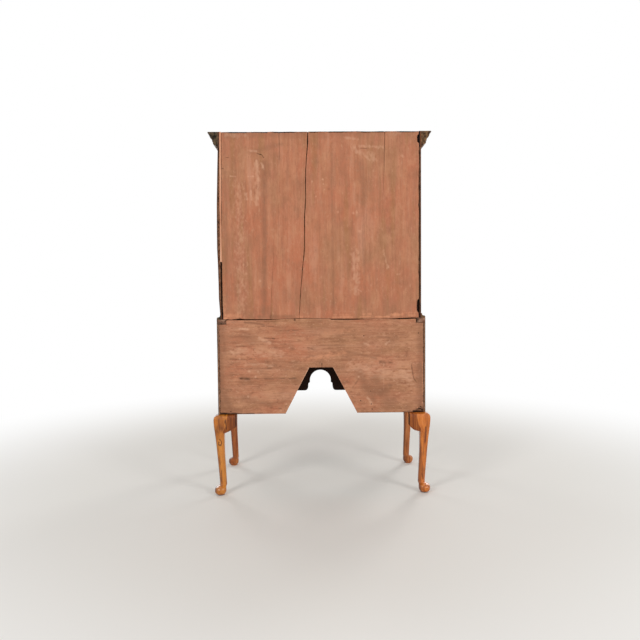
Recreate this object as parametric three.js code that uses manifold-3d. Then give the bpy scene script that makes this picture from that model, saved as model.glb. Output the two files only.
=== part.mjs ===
// Highboy: an upper chest of four long drawers on a stand with cabriole legs.
// Millimetres, +Z up. The front faces -Y and the plain back faces +Y.
// The origin is on the floor, under the middle of the whole piece.
import * as THREE from 'three';
import { mergeVertices } from 'three/addons/utils/BufferGeometryUtils.js';
import loadManifold from 'manifold-3d';

const wasm = await loadManifold();
wasm.setup();

// Whole piece
const STAND_WIDTH = 1007;
const STAND_DEPTH = 505;
const LEG_HEIGHT = 395;
const WAIST_STEP = 20.5;

// Boards and rails
const PANEL_THICKNESS = 18;
const RAIL_THICKNESS = 18;
const RAIL_DEPTH = 80;
const APRON_THICKNESS = 20;
const STAND_BACK_THICKNESS = 18;
const BACK_BOARD_THICKNESS = 12;
const SIDE_RABBET = 9;
const HOUSING_DEPTH = 6;
const RUNNER_WIDTH = 30;
const BEARER_HEIGHT = 23;

// Clearances
const SEAT_GAP = 0.3;
const SLIDE_GAP = 1.2;
const OVERRUN = 4;

// Drawer openings in the stand, and the wood under them
const APRON_RISE = 110;
const SIDE_OPENING_HEIGHT = 205;
const CENTRE_OPENING_HEIGHT = 80;
const CENTRE_OPENING_WIDTH = 301;
const LONG_OPENING_HEIGHT = 110;

// Drawer openings in the upper case, from the lowest up
const OPENING_1_HEIGHT = 212;
const OPENING_2_HEIGHT = 188;
const OPENING_3_HEIGHT = 166;
const OPENING_4_HEIGHT = 142;
const BASE_REVEAL = 6;

// Legs: a square post inside the case, a knee, a round ankle and a pad foot
const POST = 45;
const POST_CORNER_RADIUS = 1.4;
const KNEE_PROJECTION = 22;
const KNEE_HEIGHT = 86;
const ANKLE_DIAMETER = 34;
const FOOT_DIAMETER = 56;
const FOOT_PROJECTION = 24;
const FOOT_HEIGHT = 50;

// Knee blocks, glued to each leg under the case: rounded ones, and one with a sloping lower edge
const KNEE_BLOCK_REACH = 33;
const KNEE_BLOCK_THICKNESS = 28;
const KNEE_BLOCK_ROOT_HEIGHT = 90;
const KNEE_BLOCK_END_HEIGHT = 64;
const SLOPING_BLOCK_REACH = 38;
const SLOPING_BLOCK_END_HEIGHT = 63;

// Apron: the wood over each arch, and the arches' own sizes
const CENTRE_NECK = 87;
const SIDE_NECK = 35;
const ARCH_WIDTH = 119;
const ARCH_STRAIGHT = 12;
const CUSP_WIDTH = 9;
const CUSP_HEIGHT = 13;
const FLARE_WIDTH = 20;
const FLAT_RISE = 31;

// Side panels' lower edge
const SIDE_ARCH_RISE = 38;
const SIDE_ARCH_SWEEP = 58;
const KNEE_BLOCK_MARGIN = 6;

// Cut-out in the stand's back
const CUTOUT_TOP_WIDTH = 115;
const CUTOUT_BOTTOM_WIDTH = 349;
const CUTOUT_HEIGHT = 224;
const CUTOUT_OFFSET = 3;

// Mouldings
const CORNICE_HEIGHT = 77;
const CORNICE_PROJECTION = 48.5;
const WAIST_MOULDING_HEIGHT = 22;

// Upper back: where its joints cross the top and the bottom, from the middle plane
const CRACK_TOP_X = 57;
const CRACK_BOTTOM_X = 105;
const JOINT_B_TOP_X = 189;
const JOINT_B_BOTTOM_X = 242;
const JOINT_C_TOP_X = -310;
const JOINT_C_BOTTOM_X = -307;
const CRACK_GAP = 3.2;
const JOINT_GAP = 0.9;
const BACK_BOARD_HEM = 5;
const EDGE_STRIP_WIDTH = 8.6;
const EDGE_STRIP_LENGTH = 602;

// Drawers
const LIP_THICKNESS = 7;
const LIP_OVERLAP = 6;
const LIP_ROUND = 4;
const LIP_FILLET = 1;
const FRONT_BODY_THICKNESS = 14;
const DRAWER_SIDE_THICKNESS = 12;
const DRAWER_BOTTOM_THICKNESS = 8;
const DRAWER_BOTTOM_RISE = 8;
const DRAWER_BOTTOM_GROOVE = 5;
const DRAWER_HEADROOM = 5;
const DRAWER_BACK_LOWERING = 9;
const DRAWER_REAR_GAP = 8;
const TAIL_LENGTH = 12;
const TAIL_PITCH = 42;

// Pulls: two posts and a bail that hangs between them
const PULL_BORE = 76;
const POST_REACH = 17;
const POST_HEAD_RADIUS = 5.5;
const POST_STEM_RADIUS = 3.6;
const POST_COLLAR_RADIUS = 7;
const POST_COLLAR_HEIGHT = 3;
const POST_ROOT = 4;
const PIN_RADIUS = 2;
const PIN_CLEARANCE = 0.4;
const PIN_DEPTH = 4;
const BAIL_DROP = 42;
const BAIL_SHOULDER = 5;
const BAIL_RADIUS = 3;

// Plain shares and counts
const LONG_PULL_SHARE = 0.62;
const PULL_HEIGHT_SHARE = 0.58;
const TAIL_ROOT_SHARE = 0.5;
const TAIL_TIP_SHARE = 0.66;
const ARC_STEPS = 4;
const CURVE_STEPS = 6;
const BAIL_STEPS = 18;
const BAIL_SIDES = 6;
const POST_SIDES = 8;
const QUARTER_TURN = Math.PI / 2;

// Heights worked out from the sizes above
const SIDE_OPENING_BOTTOM = LEG_HEIGHT + APRON_RISE;
const MIDDLE_RAIL_BOTTOM = SIDE_OPENING_BOTTOM + SIDE_OPENING_HEIGHT;
const CENTRE_OPENING_BOTTOM = MIDDLE_RAIL_BOTTOM - CENTRE_OPENING_HEIGHT;
const LONG_OPENING_BOTTOM = MIDDLE_RAIL_BOTTOM + RAIL_THICKNESS;
const TOP_RAIL_BOTTOM = LONG_OPENING_BOTTOM + LONG_OPENING_HEIGHT;
const STAND_TOP = TOP_RAIL_BOTTOM + RAIL_THICKNESS;
const CASE_BOTTOM = LEG_HEIGHT + SEAT_GAP;
const BEARER_BOTTOM = STAND_TOP - BEARER_HEIGHT;

// Widths and depths worked out from the sizes above
const UPPER_WIDTH = STAND_WIDTH - 2 * WAIST_STEP;
const STAND_HALF = STAND_WIDTH / 2;
const STAND_INNER = STAND_HALF - PANEL_THICKNESS;
const POST_INNER = STAND_HALF - POST;
const UPPER_HALF = UPPER_WIDTH / 2;
const UPPER_INNER = UPPER_HALF - PANEL_THICKNESS;
const PARTITION_INNER = CENTRE_OPENING_WIDTH / 2;
const PARTITION_OUTER = PARTITION_INNER + PANEL_THICKNESS;
const CORNICE_OVERHANG = CORNICE_PROJECTION - WAIST_STEP;
const PULL_REACH = LIP_THICKNESS + POST_REACH + POST_HEAD_RADIUS;
const FRONT_REACH = Math.max(CORNICE_OVERHANG, PULL_REACH, FOOT_PROJECTION);
const REAR = (STAND_DEPTH + FRONT_REACH - FOOT_PROJECTION) / 2;
const FRONT = REAR - STAND_DEPTH;
const UPPER_FRONT = FRONT + WAIST_STEP;
const UPPER_BACK_FACE = REAR - BACK_BOARD_THICKNESS;
const STAND_BACK_FACE = REAR - STAND_BACK_THICKNESS;

// Levels in the upper case, measured from its own underside
const UPPER_OPENINGS = [];
const UPPER_BASE = WAIST_MOULDING_HEIGHT + LIP_OVERLAP + BASE_REVEAL;
let level = UPPER_BASE;
for (const height of [OPENING_1_HEIGHT, OPENING_2_HEIGHT, OPENING_3_HEIGHT, OPENING_4_HEIGHT]) {
  UPPER_OPENINGS.push({ bottom: level, top: level + height });
  level += height + RAIL_THICKNESS;
}
const UPPER_HEIGHT = level + CORNICE_HEIGHT;
const TOP_BOARD_BOTTOM = UPPER_HEIGHT - PANEL_THICKNESS;

// Finishes: colour, roughness and metalness
const FINISHES = {
  walnut: [0x9a5a2c, 0.35, 0],
  legWalnut: [0xbe6e32, 0.28, 0],
  painted: [0xb8785a, 0.8, 0],
  pine: [0xb98f5f, 0.75, 0],
  freshPine: [0xe6c79a, 0.7, 0],
  brass: [0xb08d45, 0.3, 1],
};

// Adds a named piece to a group.
function addPart(group, name, geometry, [color, roughness, metalness]) {
  const material = new THREE.MeshStandardMaterial({ color, roughness, metalness, flatShading: true });
  const mesh = new THREE.Mesh(geometry, material);
  mesh.name = name;
  group.add(mesh);
}

// A closed mesh as a solid with its faces pointing out.
function toSolid(geometry) {
  const bare = geometry.clone();
  bare.deleteAttribute('normal');
  bare.deleteAttribute('uv');
  const merged = mergeVertices(bare);
  const vertProperties = Float32Array.from(merged.attributes.position.array);
  const triVerts = Uint32Array.from(merged.index.array);
  const solid = new wasm.Manifold(new wasm.Mesh({ numProp: 3, vertProperties, triVerts }));
  if (solid.volume() > 0) return solid;
  for (let corner = 0; corner < triVerts.length; corner += 3) {
    [triVerts[corner], triVerts[corner + 1]] = [triVerts[corner + 1], triVerts[corner]];
  }
  return new wasm.Manifold(new wasm.Mesh({ numProp: 3, vertProperties, triVerts }));
}

function toGeometry(solid) {
  const mesh = solid.getMesh();
  const geometry = new THREE.BufferGeometry();
  geometry.setAttribute('position', new THREE.BufferAttribute(Float32Array.from(mesh.vertProperties), 3));
  geometry.setIndex(new THREE.BufferAttribute(Uint32Array.from(mesh.triVerts), 1));
  geometry.computeVertexNormals();
  return geometry;
}

function join(first, ...others) {
  return toGeometry(others.reduce((whole, piece) => whole.add(toSolid(piece)), toSolid(first)));
}

function cut(body, ...tools) {
  return toGeometry(tools.reduce((whole, tool) => whole.subtract(toSolid(tool)), toSolid(body)));
}

// A plain board between two opposite corners.
function board([x0, x1], [y0, y1], [z0, z1]) {
  const geometry = new THREE.BoxGeometry(Math.abs(x1 - x0), Math.abs(y1 - y0), Math.abs(z1 - z0));
  return geometry.translate((x0 + x1) / 2, (y0 + y1) / 2, (z0 + z1) / 2);
}

// The same piece on the other side of the middle plane.
function mirrored(geometry) {
  return toGeometry(toSolid(geometry.clone().scale(-1, 1, 1)));
}

function outline(points) {
  return new THREE.Shape(points.map(([across, up]) => new THREE.Vector2(across, up)));
}

function extruded(shape, depth) {
  return new THREE.ExtrudeGeometry(shape, { depth, bevelEnabled: false, curveSegments: CURVE_STEPS });
}

// An outline in X and Z, sawn from a board that lies between two depths.
function sawnAlongY(shape, [y0, y1]) {
  return extruded(shape, y1 - y0).rotateX(QUARTER_TURN).translate(0, y1, 0);
}

// An outline in Y and Z, sawn from a board that lies between two widths.
function sawnAlongX(shape, [x0, x1]) {
  return extruded(shape, x1 - x0).rotateX(QUARTER_TURN).rotateZ(QUARTER_TURN).translate(x0, 0, 0);
}

// Rings of points skinned into one closed body, each end closed by a fan.
function loft(rings) {
  const count = rings[0].length;
  const triangles = [];
  for (let ring = 0; ring + 1 < rings.length; ring += 1) {
    for (let side = 0; side < count; side += 1) {
      const here = ring * count + side;
      const next = ring * count + ((side + 1) % count);
      triangles.push(here, next, here + count, next, next + count, here + count);
    }
  }
  const last = (rings.length - 1) * count;
  for (let side = 1; side + 1 < count; side += 1) {
    triangles.push(0, side + 1, side, last, last + side, last + side + 1);
  }
  const geometry = new THREE.BufferGeometry();
  const positions = rings.flat().flatMap((point) => [point.x, point.y, point.z]);
  geometry.setAttribute('position', new THREE.Float32BufferAttribute(positions, 3));
  geometry.setIndex(triangles);
  return toGeometry(toSolid(geometry));
}

// A moulding profile (out from the case, up) run for a length. A mitred end reaches on by as much
// as the profile stands out.
function moulding(profile, length, { start, end }) {
  const geometry = extruded(profile, length);
  const position = geometry.attributes.position;
  for (let vertex = 0; vertex < position.count; vertex += 1) {
    const along = position.getZ(vertex);
    const reach = along > length / 2 ? end : -start;
    position.setZ(vertex, along + reach * position.getX(vertex));
  }
  return geometry;
}

// Stands a moulding against the case: the way it faces, the way it runs, and where it starts.
function against(geometry, [outX, outY], [runX, runY], [x, y, z]) {
  const out = new THREE.Vector3(outX, outY, 0);
  const up = new THREE.Vector3(0, 0, 1);
  const run = new THREE.Vector3(runX, runY, 0);
  return geometry.applyMatrix4(new THREE.Matrix4().makeBasis(out, up, run)).translate(x, y, z);
}

// The three runs of a moulding round the front and both sides of the upper case.
function addMouldings(group, names, profile, bottom) {
  const run = REAR - UPPER_FRONT;
  const sideRun = run - SEAT_GAP;
  const right = moulding(profile, sideRun, { start: 0, end: 1 });
  const left = moulding(profile, sideRun, { start: 1, end: 0 });
  const front = moulding(profile, UPPER_WIDTH - 2 * SEAT_GAP, { start: 1, end: 1 });
  addPart(group, names.right, against(right, [1, 0], [0, -1], [UPPER_HALF, REAR, bottom]), FINISHES.walnut);
  const leftStart = [-UPPER_HALF, UPPER_FRONT + SEAT_GAP, bottom];
  addPart(group, names.left, against(left, [-1, 0], [0, 1], leftStart), FINISHES.walnut);
  const frontStart = [UPPER_HALF - SEAT_GAP, UPPER_FRONT, bottom];
  addPart(group, names.front, against(front, [0, -1], [-1, 0], frontStart), FINISHES.walnut);
}

// Legs

// Stations of the leg from the case down: how far down its stretch each lies, how far the leg
// reaches past the case, how much of the swell in width it has, and how round it is.
const KNEE_SHARES = [
  { drop: 0.07, reach: 0.68, swell: 0.79, round: 0.1 },
  { drop: 0.16, reach: 0.91, swell: 0.94, round: 0.14 },
  { drop: 0.31, reach: 1, swell: 1, round: 0.2 },
  { drop: 0.62, reach: 0.95, swell: 0.85, round: 0.26 },
  { drop: 1, reach: 0.8, swell: 0.39, round: 0.36 },
];
const SHANK_SHARES = [
  { drop: 0.18, reach: 0.61, swell: 0.21, round: 0.5 },
  { drop: 0.46, reach: 0.39, swell: 0.09, round: 0.72 },
  { drop: 0.75, reach: 0.17, swell: 0.04, round: 0.9 },
  { drop: 1, reach: 0, swell: 0, round: 0.94 },
];
const FOOT_SHARES = [
  { drop: 0.14, reach: 0.34, swell: 0.3, round: 0.94 },
  { drop: 0.28, reach: 0.82, swell: 0.78, round: 0.94 },
  { drop: 0.5, reach: 1, swell: 1, round: 0.94 },
  { drop: 0.7, reach: 0.96, swell: 0.92, round: 0.94 },
  { drop: 0.88, reach: 0.76, swell: 0.45, round: 0.94 },
  { drop: 1, reach: 0.46, swell: 0, round: 0.94 },
];

// One stretch of stations: heights from its top down, and the sizes that its shares follow.
function stretch(shares, top, height, projection, widest) {
  return shares.map((share) => ({
    height: top - share.drop * height,
    reach: share.reach * projection,
    width: ANKLE_DIAMETER + share.swell * (widest - ANKLE_DIAMETER),
    round: share.round,
  }));
}

const SHANK_TOP = LEG_HEIGHT - KNEE_HEIGHT;
const KNEE_WIDTH = POST + KNEE_PROJECTION;
const LEG_STATIONS = [
  { height: LEG_HEIGHT, reach: 0, width: POST, round: POST_CORNER_RADIUS / (POST / 2) },
  ...stretch(KNEE_SHARES, LEG_HEIGHT, KNEE_HEIGHT, KNEE_PROJECTION, KNEE_WIDTH),
  ...stretch(SHANK_SHARES, SHANK_TOP, SHANK_TOP - FOOT_HEIGHT, KNEE_PROJECTION, KNEE_WIDTH),
  ...stretch(FOOT_SHARES, FOOT_HEIGHT, FOOT_HEIGHT, FOOT_PROJECTION, FOOT_DIAMETER),
];
function legCurve(pair) {
  return new THREE.SplineCurve(LEG_STATIONS.map((station) => new THREE.Vector2(...pair(station))));
}
const LEG_REACH_CURVE = legCurve(({ reach, height }) => [reach, height]);
const LEG_WIDTH_CURVE = legCurve(({ width, round }) => [width, round]);

// A square ring with rounded corners. Both its centre's coordinates are the same, because a
// cabriole leg curves out along the diagonal.
function legRing(centre, half, radius, height) {
  const points = [];
  for (let corner = 0; corner < 4; corner += 1) {
    const [signX, signY] = [[1, 1], [-1, 1], [-1, -1], [1, -1]][corner];
    for (let step = 0; step <= ARC_STEPS; step += 1) {
      const angle = (corner + step / ARC_STEPS) * QUARTER_TURN;
      const x = centre + signX * (half - radius) + radius * Math.cos(angle);
      const y = centre + signY * (half - radius) + radius * Math.sin(angle);
      points.push(new THREE.Vector3(x, y, height));
    }
  }
  return points;
}

// The leg below the case, with its corner at the origin and reaching out along +X and +Y.
function legBelowCase() {
  const steps = LEG_STATIONS.length - 1;
  const rings = [];
  for (let step = steps; step >= 0; step -= 1) {
    const { x: reach, y: height } = LEG_REACH_CURVE.getPoint(step / steps);
    const { x: width, y: round } = LEG_WIDTH_CURVE.getPoint(step / steps);
    rings.push(legRing(reach - width / 2, width / 2, (width / 2) * round, Math.max(height, 0)));
  }
  return rings;
}

// How far the knee stands out at a height, from the same curve as the leg.
function kneeReach(height) {
  const steps = LEG_STATIONS.length * CURVE_STEPS;
  const curve = LEG_REACH_CURVE.getPoints(steps);
  const below = curve.findIndex((point) => point.y <= height);
  return curve[Math.max(below, 0)].x;
}

// A knee block beside the leg, under the edge of the case: it follows the knee's swell, which
// fades towards its far end, and its lower edge rises ever more steeply.
const ROUNDED_BLOCK = { reach: KNEE_BLOCK_REACH, endHeight: KNEE_BLOCK_END_HEIGHT, edgePower: 3 };
const SLOPING_BLOCK = { reach: SLOPING_BLOCK_REACH, endHeight: SLOPING_BLOCK_END_HEIGHT, edgePower: 1.4 };
const BLOCK_FADE_SHARE = 0.55;
const BLOCK_SECTION_SHARES = [0, 0.06, 0.16, 0.32, 0.6, 1];
function kneeBlock({ reach, endHeight, edgePower }) {
  const rings = [];
  const start = -POST / 2;
  const end = -POST - reach;
  for (let step = 0; step <= ARC_STEPS; step += 1) {
    const share = 1 - (1 - step / ARC_STEPS) ** 2;
    const height = endHeight + (KNEE_BLOCK_ROOT_HEIGHT - endHeight) * (1 - share ** edgePower);
    const x = start + (end - start) * share;
    const fade = 1 - BLOCK_FADE_SHARE * share * share;
    const face = BLOCK_SECTION_SHARES.map((drop) => {
      const z = LEG_HEIGHT - drop * height;
      return new THREE.Vector3(x, kneeReach(z) * fade - SEAT_GAP, z);
    });
    const rear = [LEG_HEIGHT - height, LEG_HEIGHT].map((z) => new THREE.Vector3(x, -KNEE_BLOCK_THICKNESS, z));
    rings.push([...face, ...rear]);
  }
  return loft(rings);
}

// A whole leg with its two knee blocks, at the rear right: its post stands inside the side panel
// and the back. A front leg's post is the case's own corner.
function leg(isFront, backBlock) {
  const rings = legBelowCase();
  if (isFront) rings.push(rings.at(-1).map((point) => point.clone().setZ(STAND_TOP)));
  const alongBack = kneeBlock(backBlock);
  const acrossDiagonal = new THREE.Matrix4().set(0, 1, 0, 0, 1, 0, 0, 0, 0, 0, 1, 0, 0, 0, 0, 1);
  const alongSide = kneeBlock(ROUNDED_BLOCK).applyMatrix4(acrossDiagonal);
  const pieces = [loft(rings), alongBack, alongSide];
  if (!isFront) {
    const across = [-POST, -PANEL_THICKNESS - SEAT_GAP];
    const deep = [-POST, -STAND_BACK_THICKNESS - SEAT_GAP];
    pieces.push(board(across, deep, [LEG_HEIGHT - OVERRUN, BEARER_BOTTOM - SEAT_GAP]));
  }
  return join(...pieces);
}

function addLegs(group) {
  const rearRight = leg(false, SLOPING_BLOCK).translate(STAND_HALF, REAR, 0);
  const otherRear = leg(false, ROUNDED_BLOCK).translate(STAND_HALF, REAR, 0);
  const turned = leg(true, ROUNDED_BLOCK).rotateZ(2 * QUARTER_TURN);
  const frontLeft = turned.translate(-STAND_HALF, FRONT, 0);
  addPart(group, 'leg_rear_right', rearRight, FINISHES.legWalnut);
  addPart(group, 'leg_rear_left', mirrored(otherRear), FINISHES.legWalnut);
  addPart(group, 'leg_front_right', mirrored(frontLeft), FINISHES.legWalnut);
  addPart(group, 'leg_front_left', frontLeft, FINISHES.legWalnut);
}

// Stand

// Right half of the apron's lower edge, from the top of the middle arch out to the post.
const SCALLOP_SHARES = { flat: 0.28, cusp: 0.31, haunch: 0.4, crown: 0.6, farHaunch: 0.8, farCusp: 0.88 };
function apronEdge() {
  const radius = ARCH_WIDTH / 2;
  const archTop = CENTRE_OPENING_BOTTOM - CENTRE_NECK;
  const shoulder = archTop - radius - ARCH_STRAIGHT;
  const flat = LEG_HEIGHT + FLAT_RISE;
  const flareStart = radius + CUSP_WIDTH;
  const flareEnd = flareStart + FLARE_WIDTH;
  const post = POST_INNER - SEAT_GAP;
  const along = (share) => flareEnd + share * (post - flareEnd);
  const crown = SIDE_OPENING_BOTTOM - SIDE_NECK;
  const edge = new THREE.Path();
  edge.absarc(0, archTop - radius, radius, QUARTER_TURN, 0, true);
  edge.lineTo(radius, shoulder);
  edge.quadraticCurveTo(flareStart, shoulder, flareStart, shoulder - CUSP_HEIGHT);
  edge.quadraticCurveTo(flareStart, flat, flareEnd, flat);
  edge.lineTo(along(SCALLOP_SHARES.flat), flat);
  edge.quadraticCurveTo(along(SCALLOP_SHARES.cusp), flat, along(SCALLOP_SHARES.cusp), flat + CUSP_HEIGHT);
  edge.quadraticCurveTo(along(SCALLOP_SHARES.haunch), crown, along(SCALLOP_SHARES.crown), crown);
  edge.quadraticCurveTo(along(SCALLOP_SHARES.farHaunch), crown, along(SCALLOP_SHARES.farCusp), flat);
  edge.quadraticCurveTo(along(SCALLOP_SHARES.farCusp), CASE_BOTTOM, post - KNEE_BLOCK_REACH, CASE_BOTTOM);
  edge.lineTo(post, CASE_BOTTOM);
  return edge.getPoints(CURVE_STEPS).map((point) => [point.x, point.y]);
}

function frontApron() {
  const lower = apronEdge();
  const sideTop = SIDE_OPENING_BOTTOM;
  const step = PARTITION_INNER - SEAT_GAP;
  const upper = [[POST_INNER - SEAT_GAP, sideTop], [step, sideTop], [step, CENTRE_OPENING_BOTTOM]];
  const rightHalf = [...lower, ...upper];
  const leftHalf = rightHalf.slice(1).reverse().map(([x, z]) => [-x, z]);
  return sawnAlongY(outline([...rightHalf, ...leftHalf]), [FRONT, FRONT + APRON_THICKNESS]);
}

function standBack() {
  const half = STAND_HALF - SIDE_RABBET - SEAT_GAP;
  const topHalf = CUTOUT_TOP_WIDTH / 2;
  const bottomHalf = CUTOUT_BOTTOM_WIDTH / 2;
  const cutoutTop = CASE_BOTTOM + CUTOUT_HEIGHT;
  const shape = outline([
    [-half, CASE_BOTTOM],
    [CUTOUT_OFFSET - bottomHalf, CASE_BOTTOM],
    [CUTOUT_OFFSET - topHalf, cutoutTop],
    [CUTOUT_OFFSET + topHalf, cutoutTop],
    [CUTOUT_OFFSET + bottomHalf, CASE_BOTTOM],
    [half, CASE_BOTTOM],
    [half, BEARER_BOTTOM - SEAT_GAP],
    [POST_INNER - SEAT_GAP, BEARER_BOTTOM - SEAT_GAP],
    [POST_INNER - SEAT_GAP, STAND_TOP],
    [SEAT_GAP - POST_INNER, STAND_TOP],
    [SEAT_GAP - POST_INNER, BEARER_BOTTOM - SEAT_GAP],
    [-half, BEARER_BOTTOM - SEAT_GAP],
  ]);
  return sawnAlongY(shape, [STAND_BACK_FACE, REAR]);
}

// A side panel with its shallow arch, the drawer runners and the bearer for the upper case.
function standSide() {
  const front = FRONT + POST + SEAT_GAP;
  const frontFlat = front + KNEE_BLOCK_REACH + KNEE_BLOCK_MARGIN;
  const rearFlat = REAR - POST - KNEE_BLOCK_REACH - KNEE_BLOCK_MARGIN;
  const crown = CASE_BOTTOM + SIDE_ARCH_RISE;
  const frontBend = frontFlat + SIDE_ARCH_SWEEP / 2;
  const rearBend = rearFlat - SIDE_ARCH_SWEEP / 2;
  const shape = new THREE.Shape();
  shape.moveTo(front, CASE_BOTTOM);
  shape.lineTo(frontFlat, CASE_BOTTOM);
  shape.bezierCurveTo(frontBend, CASE_BOTTOM, frontBend, crown, frontFlat + SIDE_ARCH_SWEEP, crown);
  shape.lineTo(rearFlat - SIDE_ARCH_SWEEP, crown);
  shape.bezierCurveTo(rearBend, crown, rearBend, CASE_BOTTOM, rearFlat, CASE_BOTTOM);
  shape.lineTo(REAR, CASE_BOTTOM);
  shape.lineTo(REAR, STAND_TOP);
  shape.lineTo(front, STAND_TOP);
  const panel = sawnAlongX(shape, [STAND_INNER, STAND_HALF]);
  const rabbetInner = STAND_HALF - SIDE_RABBET;
  const rabbet = board(
    [STAND_INNER - OVERRUN, rabbetInner],
    [STAND_BACK_FACE - SEAT_GAP, REAR + OVERRUN],
    [LEG_HEIGHT - OVERRUN, STAND_TOP + OVERRUN],
  );
  const bearer = board([POST_INNER, rabbetInner], [front, REAR], [BEARER_BOTTOM, STAND_TOP]);
  const runner = (top, runnerFront) => board(
    [POST_INNER - RUNNER_WIDTH / 2, STAND_INNER + HOUSING_DEPTH],
    [runnerFront, REAR - POST - SEAT_GAP],
    [top - RAIL_THICKNESS, top],
  );
  const runners = [
    runner(SIDE_OPENING_BOTTOM, front),
    runner(LONG_OPENING_BOTTOM, FRONT + RAIL_DEPTH + SEAT_GAP),
  ];
  return join(cut(panel, rabbet), bearer, ...runners);
}

// A partition between the middle drawer and a side drawer, with a runner on each face.
function standPartition() {
  const shape = outline([
    [FRONT, SIDE_OPENING_BOTTOM + SEAT_GAP],
    [FRONT + APRON_THICKNESS + SEAT_GAP, SIDE_OPENING_BOTTOM + SEAT_GAP],
    [FRONT + APRON_THICKNESS + SEAT_GAP, SIDE_OPENING_BOTTOM - RAIL_THICKNESS],
    [STAND_BACK_FACE - SEAT_GAP, SIDE_OPENING_BOTTOM - RAIL_THICKNESS],
    [STAND_BACK_FACE - SEAT_GAP, MIDDLE_RAIL_BOTTOM - SEAT_GAP],
    [FRONT, MIDDLE_RAIL_BOTTOM - SEAT_GAP],
  ]);
  const panel = sawnAlongX(shape, [PARTITION_INNER, PARTITION_OUTER]);
  const deep = [FRONT + APRON_THICKNESS + SEAT_GAP, STAND_BACK_FACE - SEAT_GAP];
  const half = RUNNER_WIDTH / 2;
  const outer = board(
    [PARTITION_OUTER - HOUSING_DEPTH, PARTITION_OUTER + half],
    deep,
    [SIDE_OPENING_BOTTOM - RAIL_THICKNESS, SIDE_OPENING_BOTTOM],
  );
  const inner = board(
    [PARTITION_INNER - half, PARTITION_INNER + HOUSING_DEPTH],
    deep,
    [CENTRE_OPENING_BOTTOM - RAIL_THICKNESS, CENTRE_OPENING_BOTTOM],
  );
  return join(panel, outer, inner);
}

function standRail(bottom) {
  const half = POST_INNER - SEAT_GAP;
  return board([-half, half], [FRONT, FRONT + RAIL_DEPTH], [bottom, bottom + RAIL_THICKNESS]);
}

// Waist moulding, from the stand's edge up: a square edge, a rounded nose and a hollow.
const WAIST_SHARES = { edge: 0.14, nose: 0.5, step: 0.62, hollow: 0.22 };
function waistProfile() {
  const out = (share) => share * WAIST_STEP;
  const up = (share) => share * WAIST_MOULDING_HEIGHT;
  const s = WAIST_SHARES;
  const shape = new THREE.Shape();
  shape.moveTo(SEAT_GAP, 0);
  shape.lineTo(out(1), 0);
  shape.lineTo(out(1), up(s.edge));
  shape.quadraticCurveTo(out(1), up(s.nose), out(s.step), up(s.nose));
  shape.quadraticCurveTo(out(s.hollow), up(s.nose), out(s.hollow), up(1));
  shape.lineTo(SEAT_GAP, up(1));
  return shape;
}

// Upper case

function upperSide() {
  const backFace = UPPER_BACK_FACE - SEAT_GAP;
  const panel = board([UPPER_INNER, UPPER_HALF], [UPPER_FRONT, REAR], [0, UPPER_HEIGHT]);
  const rabbet = board(
    [UPPER_INNER - OVERRUN, UPPER_HALF - SIDE_RABBET],
    [backFace, REAR + OVERRUN],
    [-OVERRUN, UPPER_HEIGHT + OVERRUN],
  );
  const railRear = UPPER_FRONT + RAIL_DEPTH;
  const housingAcross = [UPPER_INNER - OVERRUN, UPPER_INNER + HOUSING_DEPTH];
  const housing = (bottom, top, rear) => board(
    housingAcross,
    [UPPER_FRONT - OVERRUN, rear + SEAT_GAP],
    [bottom - SEAT_GAP, top + SEAT_GAP],
  );
  const housings = [
    housing(UPPER_BASE - PANEL_THICKNESS, UPPER_BASE, REAR),
    housing(-OVERRUN, UPPER_BASE, UPPER_FRONT + APRON_THICKNESS),
    housing(TOP_BOARD_BOTTOM, UPPER_HEIGHT + OVERRUN, REAR),
    housing(UPPER_OPENINGS.at(-1).top, TOP_BOARD_BOTTOM, UPPER_FRONT + APRON_THICKNESS),
    ...UPPER_OPENINGS.slice(1).map(({ bottom }) => housing(bottom - RAIL_THICKNESS, bottom, railRear)),
  ];
  const runners = UPPER_OPENINGS.slice(1).map(({ bottom }) => board(
    [UPPER_INNER - RUNNER_WIDTH, UPPER_INNER + HOUSING_DEPTH],
    [railRear + 2 * SEAT_GAP, backFace],
    [bottom - RAIL_THICKNESS, bottom],
  ));
  return join(cut(panel, rabbet, ...housings), ...runners);
}

// A board or rail that runs across the upper case and is housed in both sides.
function acrossUpper(depth, heights) {
  const half = UPPER_INNER + HOUSING_DEPTH - SEAT_GAP;
  return board([-half, half], depth, heights);
}

// The upper case's bottom, with the rail under its front edge that the waist moulding hides.
function upperBottom() {
  const depth = [UPPER_FRONT, UPPER_BACK_FACE - SEAT_GAP];
  const railDepth = [UPPER_FRONT, UPPER_FRONT + APRON_THICKNESS];
  const panel = acrossUpper(depth, [UPPER_BASE - PANEL_THICKNESS, UPPER_BASE]);
  return join(panel, acrossUpper(railDepth, [0, UPPER_BASE]));
}

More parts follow.
